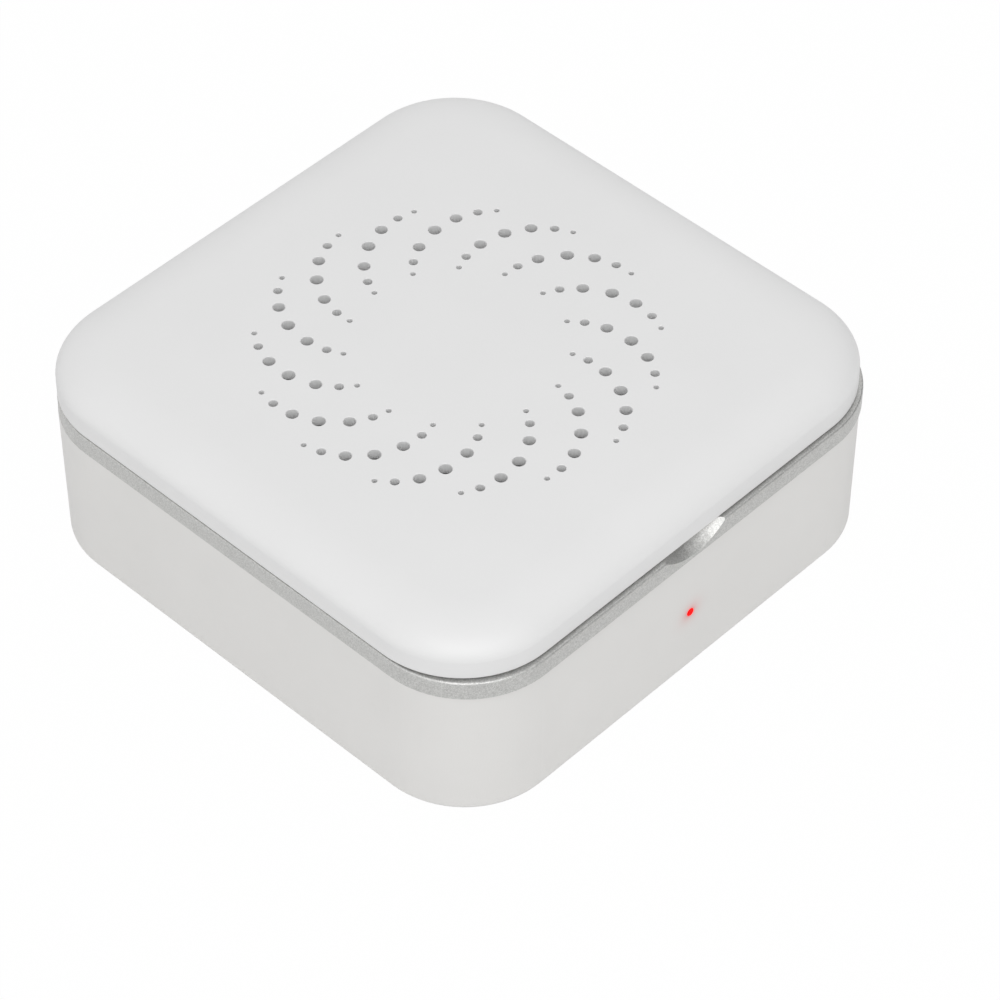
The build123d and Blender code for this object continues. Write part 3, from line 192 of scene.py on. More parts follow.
def make_finish(name, colour, shade, drift, grain, height, roughness, **sockets):
    """Material whose colour drifts between two shades over drift metres, with a surface grain of that
    size and height in metres. Further sockets of the shader are given by name, with _ for a space."""
    material = bpy.data.materials.new(name)
    material.use_nodes = True
    tree = material.node_tree
    shader = tree.nodes["Principled BSDF"]
    place = add_node(tree, "TexCoord").outputs["Object"]
    slow = add_node(tree, "TexNoise", {}, {"Vector": place, "Scale": 1 / drift, "Detail": 3.0}).outputs["Fac"]
    colours = add_node(
        tree, "Mix", {"data_type": "RGBA"}, {0: slow, 6: linear(colour), 7: linear(shade)}
    ).outputs[2]
    tree.links.new(colours, shader.inputs["Base Color"])
    spread = add_node(
        tree, "MapRange", {}, {"Value": slow, "To Min": roughness * 0.88, "To Max": roughness * 1.12}
    )
    tree.links.new(spread.outputs[0], shader.inputs["Roughness"])
    fine = add_node(tree, "TexNoise", {}, {"Vector": place, "Scale": 1 / grain, "Detail": 2.0}).outputs["Fac"]
    bump = add_node(tree, "Bump", {}, {"Strength": 1.0, "Distance": height, "Height": fine})
    tree.links.new(bump.outputs[0], shader.inputs["Normal"])
    for socket, value in sockets.items():
        shader.inputs[socket.replace("_", " ")].default_value = value
    return material


def paint_over(material, mask, code):
    """Mixes another colour over the material's own, as much as the mask says at each place."""
    tree = material.node_tree
    colour = tree.nodes["Principled BSDF"].inputs["Base Color"]
    own = colour.links[0].from_socket
    mixed = add_node(tree, "Mix", {"data_type": "RGBA"}, {0: mask, 6: own, 7: linear(code)})
    tree.links.new(mixed.outputs[2], colour)


def dress(material, *nodes):
    """Gives CAD nodes their material."""
    for name in nodes:
        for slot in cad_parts[name].material_slots:
            slot.material = material


base_abs = make_finish(
    "moulded_abs_base", base_white, base_white_shade, flow_drift, eroded_grain, eroded_height, 0.46, IOR=1.53
)
# Painted glow: red mixed into the base colour, fading with distance from the light guide's window.
guide_low, guide_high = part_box("light_guide")
window = (guide_low + guide_high) / 2
tree = base_abs.node_tree
place = add_node(tree, "TexCoord").outputs["Object"]
offset = add_node(tree, "Mapping", {}, {"Vector": place, "Location": (-window.x, -guide_low.y, -window.z)})
distance = add_node(tree, "VectorMath", {"operation": "LENGTH"}, {0: offset.outputs[0]}).outputs["Value"]
fade = add_node(tree, "Math", {"operation": "DIVIDE"}, {0: distance, 1: -painted_glow_reach})
painted_glow_falloff = add_node(tree, "Math", {"operation": "EXPONENT"}, {0: fade.outputs[0]})
painted_glow_mask = add_node(tree, "Math", {"operation": "MULTIPLY", "use_clamp": True}, {0: painted_glow_falloff.outputs[0], 1: painted_glow_depth})
paint_over(base_abs, painted_glow_mask.outputs[0], painted_glow_red)
dress(base_abs, "base_shell")


# ---- Feet ------------------------------------------------------------------------------------------------
# Four grey rubber discs glued into shallow seats under the base, moulded with three rings that grip the
# table.
foot_radius = 4.5
foot_profile = (
    (0, 0.3), (1.0, 0.3), (1.15, 0), (1.55, 0), (1.7, 0.3), (2.3, 0.3), (2.45, 0), (2.85, 0), (3.0, 0.3), (3.5, 0.3),
    (3.65, 0), (4.15, 0), (4.4, 0.1), (4.5, 0.35), (4.5, 1.6), (0, 1.6)
)


def turned(centre, profile, axis="Z", steps=48):
    """Turned piece, left in edit mode and selected: a line through the profile's points, each its radius
    and its place along the axis in millimetres from the centre, is extruded point by point and spun."""
    along = Vector([float(name == axis) for name in "XYZ"])
    outward = Vector((1, 0, 0)) if axis == "Z" else Vector((0, 0, 1))
    middle = Vector(centre) * MM
    points = [middle + (outward * radius + along * height) * MM for radius, height in profile]
    bpy.ops.object.select_all(action="DESELECT")
    bpy.ops.mesh.primitive_plane_add(size=MM, location=points[0])
    bpy.ops.object.mode_set(mode="EDIT")
    bpy.ops.mesh.select_mode(type="VERT")
    bpy.ops.mesh.merge(type="CENTER")
    for here, there in zip(points, points[1:]):
        bpy.ops.mesh.extrude_region_move(TRANSFORM_OT_translate={"value": there - here})
    bpy.ops.mesh.select_all(action="SELECT")
    bpy.ops.mesh.spin(steps=steps, angle=math.tau, center=middle, axis=along)
    bpy.ops.mesh.select_all(action="SELECT")
    bpy.ops.mesh.remove_doubles(threshold=0.002 * MM)
    bpy.ops.mesh.normals_make_consistent(inside=False)
    return bpy.context.object


def repeat(*steps):
    """In edit mode: copies what is selected, each copy a step in millimetres from the one before."""
    for step in steps:
        bpy.ops.mesh.duplicate_move(TRANSFORM_OT_translate={"value": Vector(step) * MM})


def settle(piece, name, material, body, slot, *replaced):
    """Ends a piece: edges above 35 degrees stay sharp, its place goes into its mesh, and it rides on its body."""
    bpy.ops.object.mode_set(mode="OBJECT")
    bpy.ops.object.select_all(action="DESELECT")
    piece.select_set(True)
    bpy.context.view_layer.objects.active = piece
    bpy.ops.object.transform_apply(location=True, rotation=True, scale=True)
    bpy.ops.object.shade_smooth_by_angle(angle=math.radians(35))
    piece.name = name
    piece.data.name = name
    piece.data.materials.clear()
    piece.data.materials.append(material)
    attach(piece, body)
    if replaced:
        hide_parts(*replaced)


foot_rubber = make_finish(
    "foot_rubber", "#6E6F70", "#626364", 3 * MM, 0.25 * MM, 0.03 * MM, 0.8, IOR=1.52
)
foot_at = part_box("feet")[1].x / MM - foot_radius
feet = turned((-foot_at, -foot_at, 0), foot_profile)
repeat((2 * foot_at, 0, 0), (0, 2 * foot_at, 0), (-2 * foot_at, 0, 0))
settle(feet, "tread_feet", foot_rubber, "case", "foot_rubber", "feet")


# ---- Screws and hinge pins -------------------------------------------------------------------------------
# Zinc-plated steel screws and ground steel pins.
zinc = make_finish(
    "zinc_plated_steel", "#C3C6C8", "#A9ADB2", 1.2 * MM, 0.15 * MM, 0.004 * MM, 0.32, Metallic=1.0
)
dress(zinc, "case_screws", "lid_screws", "fan_screws", "board_screws")
ground_steel = make_finish(
    "ground_steel", "#BDBEBF", "#AEB0B1", 2 * MM, 0.2 * MM, 0.003 * MM, 0.22, Metallic=1.0
)
dress(ground_steel, "hinge_pins", "fan_shaft")


# ---- Trim ring -------------------------------------------------------------------------------------------
# ABS frame with a sprayed silver paint: aluminium flakes in a clear lacquer. The flakes lean a little and catch the
# light one by one, and each flake's colour is also set at random lighter or darker, a painted sparkle; a curved face
# turns bright where it mirrors the light.
silver = "#D0D0CE"
silver_dark = "#B4B4B2"
flake = 0.18 * MM            # real flakes are about 0.03 mm, too fine to show
flake_tilt = 0.1             # how far the flakes lean out of the paint's surface, as a share of its normal
silver_paint = make_finish(
    "silver_paint", silver, silver_dark, 6 * MM, 0.3 * MM, 0.003 * MM, 0.42, Metallic=0.65
)
tree = silver_paint.node_tree
shader = tree.nodes["Principled BSDF"]
place = add_node(tree, "TexCoord").outputs["Object"]
# Each flake's colour is picked at random between two silvers, painted sparkle; the leaning normals below give real
# glints.
flakes = add_node(tree, "TexVoronoi", {}, {"Vector": place, "Scale": 1 / flake}).outputs["Color"]
painted_sparkle = add_node(tree, "SeparateColor", {}, {0: flakes}).outputs[0]
colours = add_node(tree, "Mix", {"data_type": "RGBA"}, {0: painted_sparkle, 6: linear(silver), 7: linear(silver_dark)})
tree.links.new(colours.outputs[2], shader.inputs["Base Color"])
lean = add_node(tree, "VectorMath", {"operation": "SUBTRACT"}, {0: flakes, 1: (0.5, 0.5, 0.5)}).outputs[0]
surface = add_node(tree, "NewGeometry").outputs["Normal"]
tilted = add_node(
    tree, "VectorMath", {"operation": "MULTIPLY_ADD"}, {0: lean, 1: (flake_tilt, flake_tilt, flake_tilt), 2: surface}
).outputs[0]
facing = add_node(tree, "VectorMath", {"operation": "NORMALIZE"}, {0: tilted}).outputs[0]
tree.links.new(facing, shader.inputs["Normal"])
dress(silver_paint, "trim_ring")


# ---- Lid cover -------------------------------------------------------------------------------------------
# Same white ABS from another mould, with its swirl of vent holes drilled through the roof. Its top is a
# little smoother than the base.
lid_white = "#E4E4E4"
lid_white_shade = "#E0E0E0"
lid_abs = make_finish(
    "moulded_abs_lid", lid_white, lid_white_shade, flow_drift, eroded_grain, eroded_height, 0.42, IOR=1.53
)
dress(lid_abs, "lid_cover")


# ---- Inner mouldings -------------------------------------------------------------------------------------
# Lid liner, drying well with its deck, and the well's floor grille: white ABS from polished moulds, so
# they shine more than the outside.
inner_abs = make_finish(
    "polished_abs", "#E6E6E4", "#E1E1DF", flow_drift, 0.5 * MM, 0.005 * MM, 0.3, IOR=1.53
)
dress(inner_abs, "lid_liner", "chamber_tub")
grille_abs = make_finish(
    "grille_abs", "#DADBDB", "#D4D5D5", 9 * MM, 0.3 * MM, 0.01 * MM, 0.4, IOR=1.53
)
dress(grille_abs, "chamber_grille")


# ---- Seal and bumpers ------------------------------------------------------------------------------------
# Soft silicone: a loop pressed into the deck's groove, and two pads under the lid's front. Milky, dull and
# faintly see-through.
silicone = make_finish(
    "milky_silicone", "#CBCCCB", "#C1C2C1", 5 * MM, 0.25 * MM, 0.01 * MM, 0.55,
    IOR=1.41, Subsurface_Weight=0.2, Subsurface_Scale=0.5 * MM, Subsurface_Radius=(1.0, 1.0, 1.0)
)
dress(silicone, "lid_seal", "lid_bumpers")


# ---- Magnets ---------------------------------------------------------------------------------------------
# Sintered discs plated with bright nickel, pressed into cups of the liner and the deck.
nickel = make_finish(
    "bright_nickel", "#D2CDC4", "#C4BFB5", 2 * MM, 0.3 * MM, 0.003 * MM, 0.16, Metallic=1.0
)
dress(nickel, "catch_magnets", "lid_magnets")


# ---- Ultraviolet lamps -----------------------------------------------------------------------------------
# Clear panes in the well's side walls, and behind each a white board with two lamps in ceramic housings.
# Each lamp has a gold-plated chip under a flat dome of quartz.
lens_profile = ((0, 0), (1.06, 0), (1.04, 0.1), (0.85, 0.22), (0.5, 0.31), (0, 0.34))
die_side = 1.0
die_height = 0.06
pane = make_finish(
    "quartz_pane", "#F4F6FA", "#EEF1F8", 8 * MM, 1 * MM, 0.001 * MM, 0.05, IOR=1.46, Transmission_Weight=0.9
)
dress(pane, "uv_windows")
white_board = make_finish(
    "white_solder_mask", "#E9E9E6", "#DFDFDC", 4 * MM, 0.4 * MM, 0.01 * MM, 0.35, IOR=1.5
)
dress(white_board, "uv_boards")
ceramic = make_finish(
    "lamp_ceramic", "#D8CFA8", "#CFC49A", 2 * MM, 0.2 * MM, 0.006 * MM, 0.4, IOR=1.7
)
dress(ceramic, "uv_leds")
gold = make_finish(
    "gold_plate", "#D9B66A", "#CBA555", 0.5 * MM, 0.1 * MM, 0.002 * MM, 0.25, Metallic=1.0
)


def add_block(low, high):
    """Block between two corners in millimetres, left in edit mode with all of it selected. While a piece
    is already being edited, the block becomes part of it."""
    low = Vector(low) * MM
    high = Vector(high) * MM
    alone = bpy.context.mode == "OBJECT"
    if alone:
        bpy.ops.object.select_all(action="DESELECT")
    bpy.ops.mesh.primitive_cube_add(size=1, location=(low + high) / 2, scale=high - low)
    if alone:
        bpy.ops.object.transform_apply(location=True, rotation=True, scale=True)
        bpy.ops.object.mode_set(mode="EDIT")
        bpy.ops.mesh.select_all(action="SELECT")
    return bpy.context.object


led_low, led_high = (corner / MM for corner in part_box("uv_leds"))
led_middle = (led_low + led_high) / 2
led_spacing = led_high.y - led_low.y - (led_high.z - led_low.z)
cup_floor = led_high.x - 1.4 + 0.4
for side, name in ((-1, "left"), (1, "right")):
    y = led_middle.y - led_spacing / 2
    reach = [(radius, -side * height) for radius, height in lens_profile]
    lens_pair = turned((side * (cup_floor - 0.01), y, led_middle.z), reach, axis="X", steps=24)
    repeat((0, led_spacing, 0))
    settle(lens_pair, f"lamp_lens_{name}", pane, "case", "uv_pane")
    ends = sorted((side * cup_floor, side * (cup_floor - die_height)))
    half = die_side / 2
    dies = add_block((ends[0], y - half, led_middle.z - half), (ends[1], y + half, led_middle.z + half))
    bpy.ops.mesh.bevel(offset=0.02 * MM, segments=1, affect="EDGES")
    repeat((0, led_spacing, 0))
    settle(dies, f"lamp_die_{name}", gold, "case", "brass")


# ---- Start button ----------------------------------------------------------------------------------------
# Light grey ABS cap with a shallow dish for the fingertip, pad-printed with the usual ring and bar.
mark_radius = 1.5 * MM
mark_line = 0.17 * MM        # half of the printed line's width
mark_gap = 0.6 * MM          # half of the ring's opening
bar_middle = 1.3 * MM
bar_half = 0.8 * MM
button_abs = make_finish(
    "button_abs", "#A9ADB0", "#A3A7AA", 4 * MM, 0.3 * MM, 0.015 * MM, 0.5, IOR=1.53
)
cap_low, cap_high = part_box("start_button")
cap_middle = (cap_low + cap_high) / 2
tree = button_abs.node_tree
place = add_node(tree, "TexCoord").outputs["Object"]
flat = add_node(
    tree, "Mapping", {}, {"Vector": place, "Location": (-cap_middle.x, -cap_middle.y, 0.0), "Scale": (1.0, 1.0, 0.0)}
).outputs[0]
radius = add_node(tree, "VectorMath", {"operation": "LENGTH"}, {0: flat}).outputs["Value"]
parts = add_node(tree, "SeparateXYZ", {}, {0: flat}).outputs
aside = add_node(tree, "Math", {"operation": "ABSOLUTE"}, {0: parts["X"]}).outputs[0]
ring = add_node(tree, "Math", {"operation": "COMPARE"}, {0: radius, 1: mark_radius, 2: mark_line}).outputs[0]
near = add_node(tree, "Math", {"operation": "LESS_THAN"}, {0: aside, 1: mark_gap}).outputs[0]
above = add_node(tree, "Math", {"operation": "GREATER_THAN"}, {0: parts["Y"], 1: 0.0}).outputs[0]
gap = add_node(tree, "Math", {"operation": "MULTIPLY"}, {0: near, 1: above}).outputs[0]
arc = add_node(tree, "Math", {"operation": "SUBTRACT", "use_clamp": True}, {0: ring, 1: gap}).outputs[0]
slim = add_node(tree, "Math", {"operation": "LESS_THAN"}, {0: aside, 1: mark_line}).outputs[0]
tall = add_node(tree, "Math", {"operation": "COMPARE"}, {0: parts["Y"], 1: bar_middle, 2: bar_half}).outputs[0]
bar = add_node(tree, "Math", {"operation": "MULTIPLY"}, {0: slim, 1: tall}).outputs[0]
mark = add_node(tree, "Math", {"operation": "MAXIMUM"}, {0: arc, 1: bar}).outputs[0]
paint_over(button_abs, mark, "#4B4E52")
dress(button_abs, "start_button")


# ---- Key switch ------------------------------------------------------------------------------------------
# Small push switch under the button: black nylon body and plunger, a steel cover held by four riveted
# pins, and bent legs on its board.
cover_thickness = 0.12
cover_hole = 1.95
rivet_profile = ((0, 0), (0.45, 0), (0.42, 0.1), (0.25, 0.17), (0, 0.2))
rivet_inset = 0.75
leg_width = 0.7
leg_pitch = 4.5
black_nylon = make_finish(
    "black_nylon", "#26272A", "#1E1F21", 3 * MM, 0.25 * MM, 0.012 * MM, 0.45, IOR=1.53
)
dress(black_nylon, "switch_plunger", "tact_switch", "buzzer")
tinned = make_finish(
    "tinned_steel", "#C9CACA", "#B4B6B8", 0.8 * MM, 0.15 * MM, 0.004 * MM, 0.28, Metallic=1.0
)


def cut_away(piece, cutter):
    """Takes the cutter's shape out of the piece with a Boolean modifier and deletes the cutter."""
    bpy.ops.object.mode_set(mode="OBJECT")
    modifier = piece.modifiers.new("cut", "BOOLEAN")
    modifier.operation = "DIFFERENCE"
    modifier.object = cutter
    bpy.ops.object.select_all(action="DESELECT")
    piece.select_set(True)
    bpy.context.view_layer.objects.active = piece
    bpy.ops.object.modifier_apply(modifier=modifier.name)
    bpy.data.objects.remove(cutter)


def pick_faces(piece, test):
    """In edit mode: selects just the faces whose middle, in millimetres, and normal pass the test."""
    bpy.ops.mesh.select_mode(type="FACE")
    mesh = bmesh.from_edit_mesh(piece.data)
    for face in mesh.faces:
        face.select_set(test(face.calc_center_median() / MM, face.normal))
    bmesh.update_edit_mesh(piece.data)


def stretch(*moves):
    """In edit mode: extrudes what is selected by each move in turn, in millimetres."""
    for move in moves:
        bpy.ops.mesh.extrude_region_move(TRANSFORM_OT_translate={"value": Vector(move) * MM})


def turn_copy(centre):
    """In edit mode: copies what is selected, turned half a turn about the upright axis at centre, in mm."""
    bpy.ops.mesh.select_all(action="SELECT")
    bpy.ops.mesh.duplicate()
    bpy.ops.transform.rotate(value=math.pi, orient_axis="Z", center_override=Vector(centre) * MM)


switch_low, switch_high = (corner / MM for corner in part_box("tact_switch"))
switch_middle = (switch_low + switch_high) / 2
top = switch_high.z
cover = add_block((switch_low.x, switch_low.y, top), (switch_high.x, switch_high.y, top + cover_thickness))
bpy.ops.mesh.bevel(offset=0.04 * MM, segments=1, affect="EDGES")
bpy.ops.object.mode_set(mode="OBJECT")
hole = turned((switch_middle.x, switch_middle.y, top), ((0, -1), (cover_hole, -1), (cover_hole, 1), (0, 1)))
cut_away(cover, hole)
settle(cover, "switch_cover", tinned, "case", "steel")
corner = (switch_low.x + rivet_inset, switch_low.y + rivet_inset, top + cover_thickness)
rivets = turned(corner, rivet_profile, steps=16)
across = switch_high.x - switch_low.x - 2 * rivet_inset
repeat((across, 0, 0), (0, across, 0), (-across, 0, 0))
settle(rivets, "switch_rivets", black_nylon, "case", "black_plastic")
y = switch_middle.y - leg_pitch / 2
start = Vector((switch_high.x, y, switch_low.z + 0.8))
legs = add_block(start - Vector((0.4, leg_width / 2, 0.1)), start + Vector((0.15, leg_width / 2, 0.1)))
pick_faces(legs, lambda middle, normal: normal.x > 0.9)
stretch((0.25, 0, -0.68), (0.75, 0, 0))
bpy.ops.mesh.select_all(action="SELECT")
repeat((0, leg_pitch, 0))
turn_copy(switch_middle)
settle(legs, "switch_legs", tinned, "case", "steel")


# ---- Lid sensor ------------------------------------------------------------------------------------------
# Magnetic switch that tells when the lid is shut: a small black epoxy body with sloping sides on three
# tinned legs.
sensor_low, sensor_high = (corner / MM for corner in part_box("lid_sensor"))
black_epoxy = make_finish(
    "black_epoxy", "#232427", "#1B1C1E", 2 * MM, 0.12 * MM, 0.012 * MM, 0.55, IOR=1.55
)
low = sensor_low + Vector((0.1, 0.6, 0.1))
high = sensor_high - Vector((0.1, 0.6, 0.0))
sensor = add_block(low, high)
pick_faces(sensor, lambda middle, normal: normal.z > 0.9)
bpy.ops.transform.resize(value=(0.86, 0.8, 1.0), center_override=(low + high) / 2 * MM)
bpy.ops.mesh.select_all(action="SELECT")
bpy.ops.mesh.bevel(offset=0.06 * MM, segments=2, affect="EDGES")
settle(sensor, "hall_sensor", black_epoxy, "case", "black_plastic", "lid_sensor")
middle = (sensor_low + sensor_high) / 2
legs = add_block((low.x + 0.2, low.y - 0.05, low.z + 0.35), (low.x + 0.6, low.y + 0.2, low.z + 0.5))
pick_faces(legs, lambda middle, normal: normal.y < -0.9)
stretch((0, -0.1, -0.43), (0, -0.4, 0))
bpy.ops.mesh.select_all(action="SELECT")
repeat((2.0, 0, 0))
turn_copy(middle)
settle(legs, "hall_sensor_legs", tinned, "case", "steel")


# ---- Fan -------------------------------------------------------------------------------------------------
# Slim axial fan in black glass-filled plastic, with its magnet ring, laminated stator and bronze bearing.
fan_plastic = make_finish(
    "glass_filled_plastic", "#2B2C2E", "#222325", 4 * MM, 0.2 * MM, 0.015 * MM, 0.42, IOR=1.55
)
dress(fan_plastic, "fan_frame", "fan_rotor")
ferrite = make_finish(
    "ferrite", "#3A3836", "#2E2C2B", 2 * MM, 0.15 * MM, 0.01 * MM, 0.6, IOR=2.0
)
dress(ferrite, "fan_magnet")
bronze = make_finish(
    "sintered_bronze", "#B58D4A", "#A27C40", 0.8 * MM, 0.1 * MM, 0.01 * MM, 0.4, Metallic=1.0
)
dress(bronze, "fan_bearing")
sheet_pitch = 0.35 * MM      # thickness of one lamination
laminations = make_finish(
    "laminated_steel", "#8D8F92", "#77797C", 1 * MM, 0.2 * MM, 0.006 * MM, 0.38, Metallic=1.0
)
tree = laminations.node_tree
place = add_node(tree, "TexCoord").outputs["Object"]
sheets = add_node(
    tree, "TexWave", {"bands_direction": "Z", "wave_profile": "SAW"}, {"Vector": place, "Scale": 0.314 / sheet_pitch}
).outputs["Fac"]
edge = add_node(tree, "Math", {"operation": "GREATER_THAN"}, {0: sheets, 1: 0.8}).outputs[0]
paint_over(laminations, edge, "#4E5054")
dress(laminations, "fan_stator")


# ---- Fan coils -------------------------------------------------------------------------------------------
# Four coils of enamelled copper wire round the stator's arms, two layers of eight turns each.
coil_wire = 0.24
coil_turns = 8
copper = make_finish(
    "enamelled_copper", "#B5651D", "#A3541A", 0.6 * MM, 0.15 * MM, 0.004 * MM, 0.28, Metallic=0.9
)
coil_low, coil_high = (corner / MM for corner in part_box("fan_coils"))
fan_axis = (coil_low + coil_high) / 2
height = coil_high.z - coil_low.z
width = 2.8
first = coil_high.x - coil_wire * (coil_turns - 0.5)
windings = []
for layer in range(2):
    inset = coil_wire * (1 + 2 * layer)
    place = Vector((first, fan_axis.y, fan_axis.z)) * MM
    bpy.ops.object.select_all(action="DESELECT")
    bpy.ops.mesh.primitive_plane_add(size=MM, location=place, rotation=(0, math.pi / 2, 0))
    bpy.context.object.scale = (height - inset, width - inset, 1)
    bpy.ops.object.transform_apply(location=True, rotation=True, scale=True)
    bpy.ops.object.mode_set(mode="EDIT")
    bpy.ops.mesh.select_mode(type="VERT")
    bpy.ops.mesh.select_all(action="SELECT")
    bpy.ops.mesh.delete(type="ONLY_FACE")
    bpy.ops.mesh.select_all(action="SELECT")
    bpy.ops.mesh.bevel(offset=0.25 * MM, segments=3, affect="VERTICES")
    bpy.ops.object.mode_set(mode="OBJECT")
    bpy.ops.object.convert(target="CURVE")
    turn = bpy.context.object
    turn.data.bevel_depth = coil_wire / 2 * MM
    turn.data.bevel_resolution = 1
    bpy.ops.object.convert(target="MESH")
    bpy.ops.object.mode_set(mode="EDIT")
    bpy.ops.mesh.select_all(action="SELECT")
    repeat(*[(coil_wire, 0, 0)] * (coil_turns - 1))
    turn_copy(fan_axis)
    bpy.ops.mesh.select_all(action="SELECT")
    bpy.ops.mesh.duplicate()
    bpy.ops.transform.rotate(value=math.pi / 2, orient_axis="Z", center_override=fan_axis * MM)
    bpy.ops.object.mode_set(mode="OBJECT")
    windings.append(bpy.context.object)
bpy.ops.object.select_all(action="DESELECT")
for winding in windings:
    winding.select_set(True)
bpy.ops.object.join()
bpy.ops.object.mode_set(mode="EDIT")
settle(bpy.context.object, "wound_coils", copper, "case", "copper", "fan_coils")


# ---- Air duct and heater ---------------------------------------------------------------------------------
# Heat-proof plastic box over the fan, with two aluminium heater bars between packs of thin fins, and a
# thermal fuse in its cradle.
duct_plastic = make_finish(
    "heat_proof_plastic", "#D2CFC6", "#CAC7BD", 6 * MM, 0.3 * MM, 0.01 * MM, 0.5, IOR=1.6
)
dress(duct_plastic, "air_duct", "heater_caps")
aluminium = make_finish(
    "rolled_aluminium", "#C8CACC", "#B8BABD", 2 * MM, 0.3 * MM, 0.005 * MM, 0.3, Metallic=1.0
)
dress(aluminium, "heater_bars", "heater_fins")
dress(zinc, "thermal_fuse")


# ---- Boards ----------------------------------------------------------------------------------------------
# Glass-epoxy boards under green solder mask, through which the copper tracks show a little lighter.
track_pitch = 2.4 * MM
solder_mask = make_finish(
    "green_solder_mask", "#1F6B3C", "#1A5C34", 3 * MM, 0.3 * MM, 0.004 * MM, 0.3, IOR=1.5
)
tree = solder_mask.node_tree
place = add_node(tree, "TexCoord").outputs["Object"]
level = add_node(tree, "Mapping", {}, {"Vector": place, "Scale": (1.0, 1.6, 0.0)}).outputs[0]
cells = add_node(
    tree, "TexVoronoi", {"distance": "CHEBYCHEV"}, {"Vector": level, "Scale": 1 / track_pitch, "Randomness": 0.8}
).outputs["Distance"]
track = add_node(tree, "Math", {"operation": "COMPARE"}, {0: cells, 1: 0.36, 2: 0.035}).outputs[0]
paint_over(solder_mask, track, "#2F8450")
dress(solder_mask, "main_board", "switch_board", "inlet_board")
board_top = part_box("main_board")[1].z / MM


# ---- Control chip ----------------------------------------------------------------------------------------
# Flat epoxy package with sloping sides and a dimple that marks its first leg, on two rows of eight
# gull-wing legs.
chip_low, chip_high = (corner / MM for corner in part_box("control_chip"))
chip_middle = (chip_low + chip_high) / 2
low = Vector((chip_low.x, chip_low.y + 0.95, board_top + 0.15))
high = Vector((chip_high.x, chip_high.y - 0.95, chip_high.z))
half_height = (low.z + high.z) / 2
chip = add_block(low, high)
bpy.ops.mesh.bisect(plane_co=Vector((0, 0, half_height)) * MM, plane_no=(0, 0, 1))
for side in (1, -1):
    pick_faces(chip, lambda middle, normal: normal.z * side > 0.9)
    bpy.ops.transform.resize(value=(0.97, 0.95, 1.0), center_override=chip_middle * MM)
bpy.ops.mesh.select_all(action="SELECT")
bpy.ops.mesh.bevel(offset=0.06 * MM, segments=2, affect="EDGES")
bpy.ops.object.mode_set(mode="OBJECT")
dimple_at = (low.x + 1.0, low.y + 1.0, high.z)
cut_away(chip, turned(dimple_at, ((0, -0.12), (0.4, -0.12), (0.42, 0.5), (0, 0.5)), steps=24))
settle(chip, "chip_package", black_epoxy, "case", "black_plastic", "control_chip")
x = low.x + 0.8
legs = add_block((x, low.y - 0.1, half_height - 0.1), (x + 0.42, low.y + 0.3, half_height + 0.08))
pick_faces(legs, lambda middle, normal: normal.y < -0.9)
stretch((0, -0.25, -(half_height - board_top - 0.12)), (0, -0.55, 0))
bpy.ops.mesh.select_all(action="SELECT")
repeat(*[(1.14, 0, 0)] * 7)
turn_copy(chip_middle)
settle(legs, "chip_legs", tinned, "case", "steel")


# ---- Choke -----------------------------------------------------------------------------------------------
# Ferrite bobbin with one open winding of enamelled wire, glued to the board.
choke_low, choke_high = (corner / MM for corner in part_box("power_inductor"))
choke_foot = Vector(((choke_low.x + choke_high.x) / 2, (choke_low.y + choke_high.y) / 2, choke_low.z))
choke_radius = (choke_high.x - choke_low.x) / 2
choke_height = choke_high.z - choke_low.z
wire_rows = 6
bobbin_profile = (
    (0, 0), (choke_radius - 0.15, 0), (choke_radius, 0.15), (choke_radius, 0.6), (2.2, 0.75), (2.2, choke_height - 0.75),
    (choke_radius, choke_height - 0.6), (choke_radius, choke_height - 0.15), (choke_radius - 0.15, choke_height),
    (0, choke_height)
)
bobbin = turned(choke_foot, bobbin_profile)
settle(bobbin, "choke_bobbin", ferrite, "case", "black_plastic", "power_inductor")
row = (choke_height - 1.5) / wire_rows
winding_profile = [(2.21, 0.75), (3.2, 0.75)]
for i in range(wire_rows):
    start = 0.75 + i * row
    winding_profile += [(3.42, start + row * 0.3), (3.42, start + row * 0.7), (3.2, start + row)]
winding_profile.append((2.21, choke_height - 0.75))
settle(turned(choke_foot, winding_profile), "choke_winding", copper, "case", "copper")


# ---- Board capacitors ------------------------------------------------------------------------------------
# Two aluminium cans in dark shrunk sleeves, crimped over a rubber bung, with a cross scored in the top
# where they would open under pressure.
can_low, can_high = (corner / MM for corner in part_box("board_capacitors"))
can_radius = (can_high.y - can_low.y) / 2
can_height = can_high.z - can_low.z
can_foot = Vector((can_low.x + can_radius, (can_low.y + can_high.y) / 2, can_low.z))
can_spacing = can_high.x - can_low.x - 2 * can_radius
sleeve_profile = (
    (3.0, 0.3), (3.35, 0.3), (can_radius, 0.5), (can_radius, 1.1), (3.28, 1.35), (3.28, 1.6), (can_radius, 1.85),
    (can_radius, can_height - 0.45), (3.38, can_height - 0.12), (3.1, can_height), (2.85, can_height),
    (2.85, can_height - 0.08), (3.0, can_height - 0.4)
)
top_profile = ((0, 0), (2.95, 0), (2.95, can_height - 0.1), (2.7, can_height - 0.06), (0, can_height - 0.06))
sleeve_film = make_finish(
    "shrunk_sleeve", "#232B47", "#1D2440", 3 * MM, 0.3 * MM, 0.004 * MM, 0.25, IOR=1.5
)
sleeves = turned(can_foot, (*sleeve_profile, sleeve_profile[0]))
repeat((can_spacing, 0, 0))
settle(sleeves, "capacitor_sleeves", sleeve_film, "case", "can", "board_capacitors")
cans = turned(can_foot, tuple((radius, max(height, 0.35)) for radius, height in top_profile))
bpy.ops.object.mode_set(mode="OBJECT")
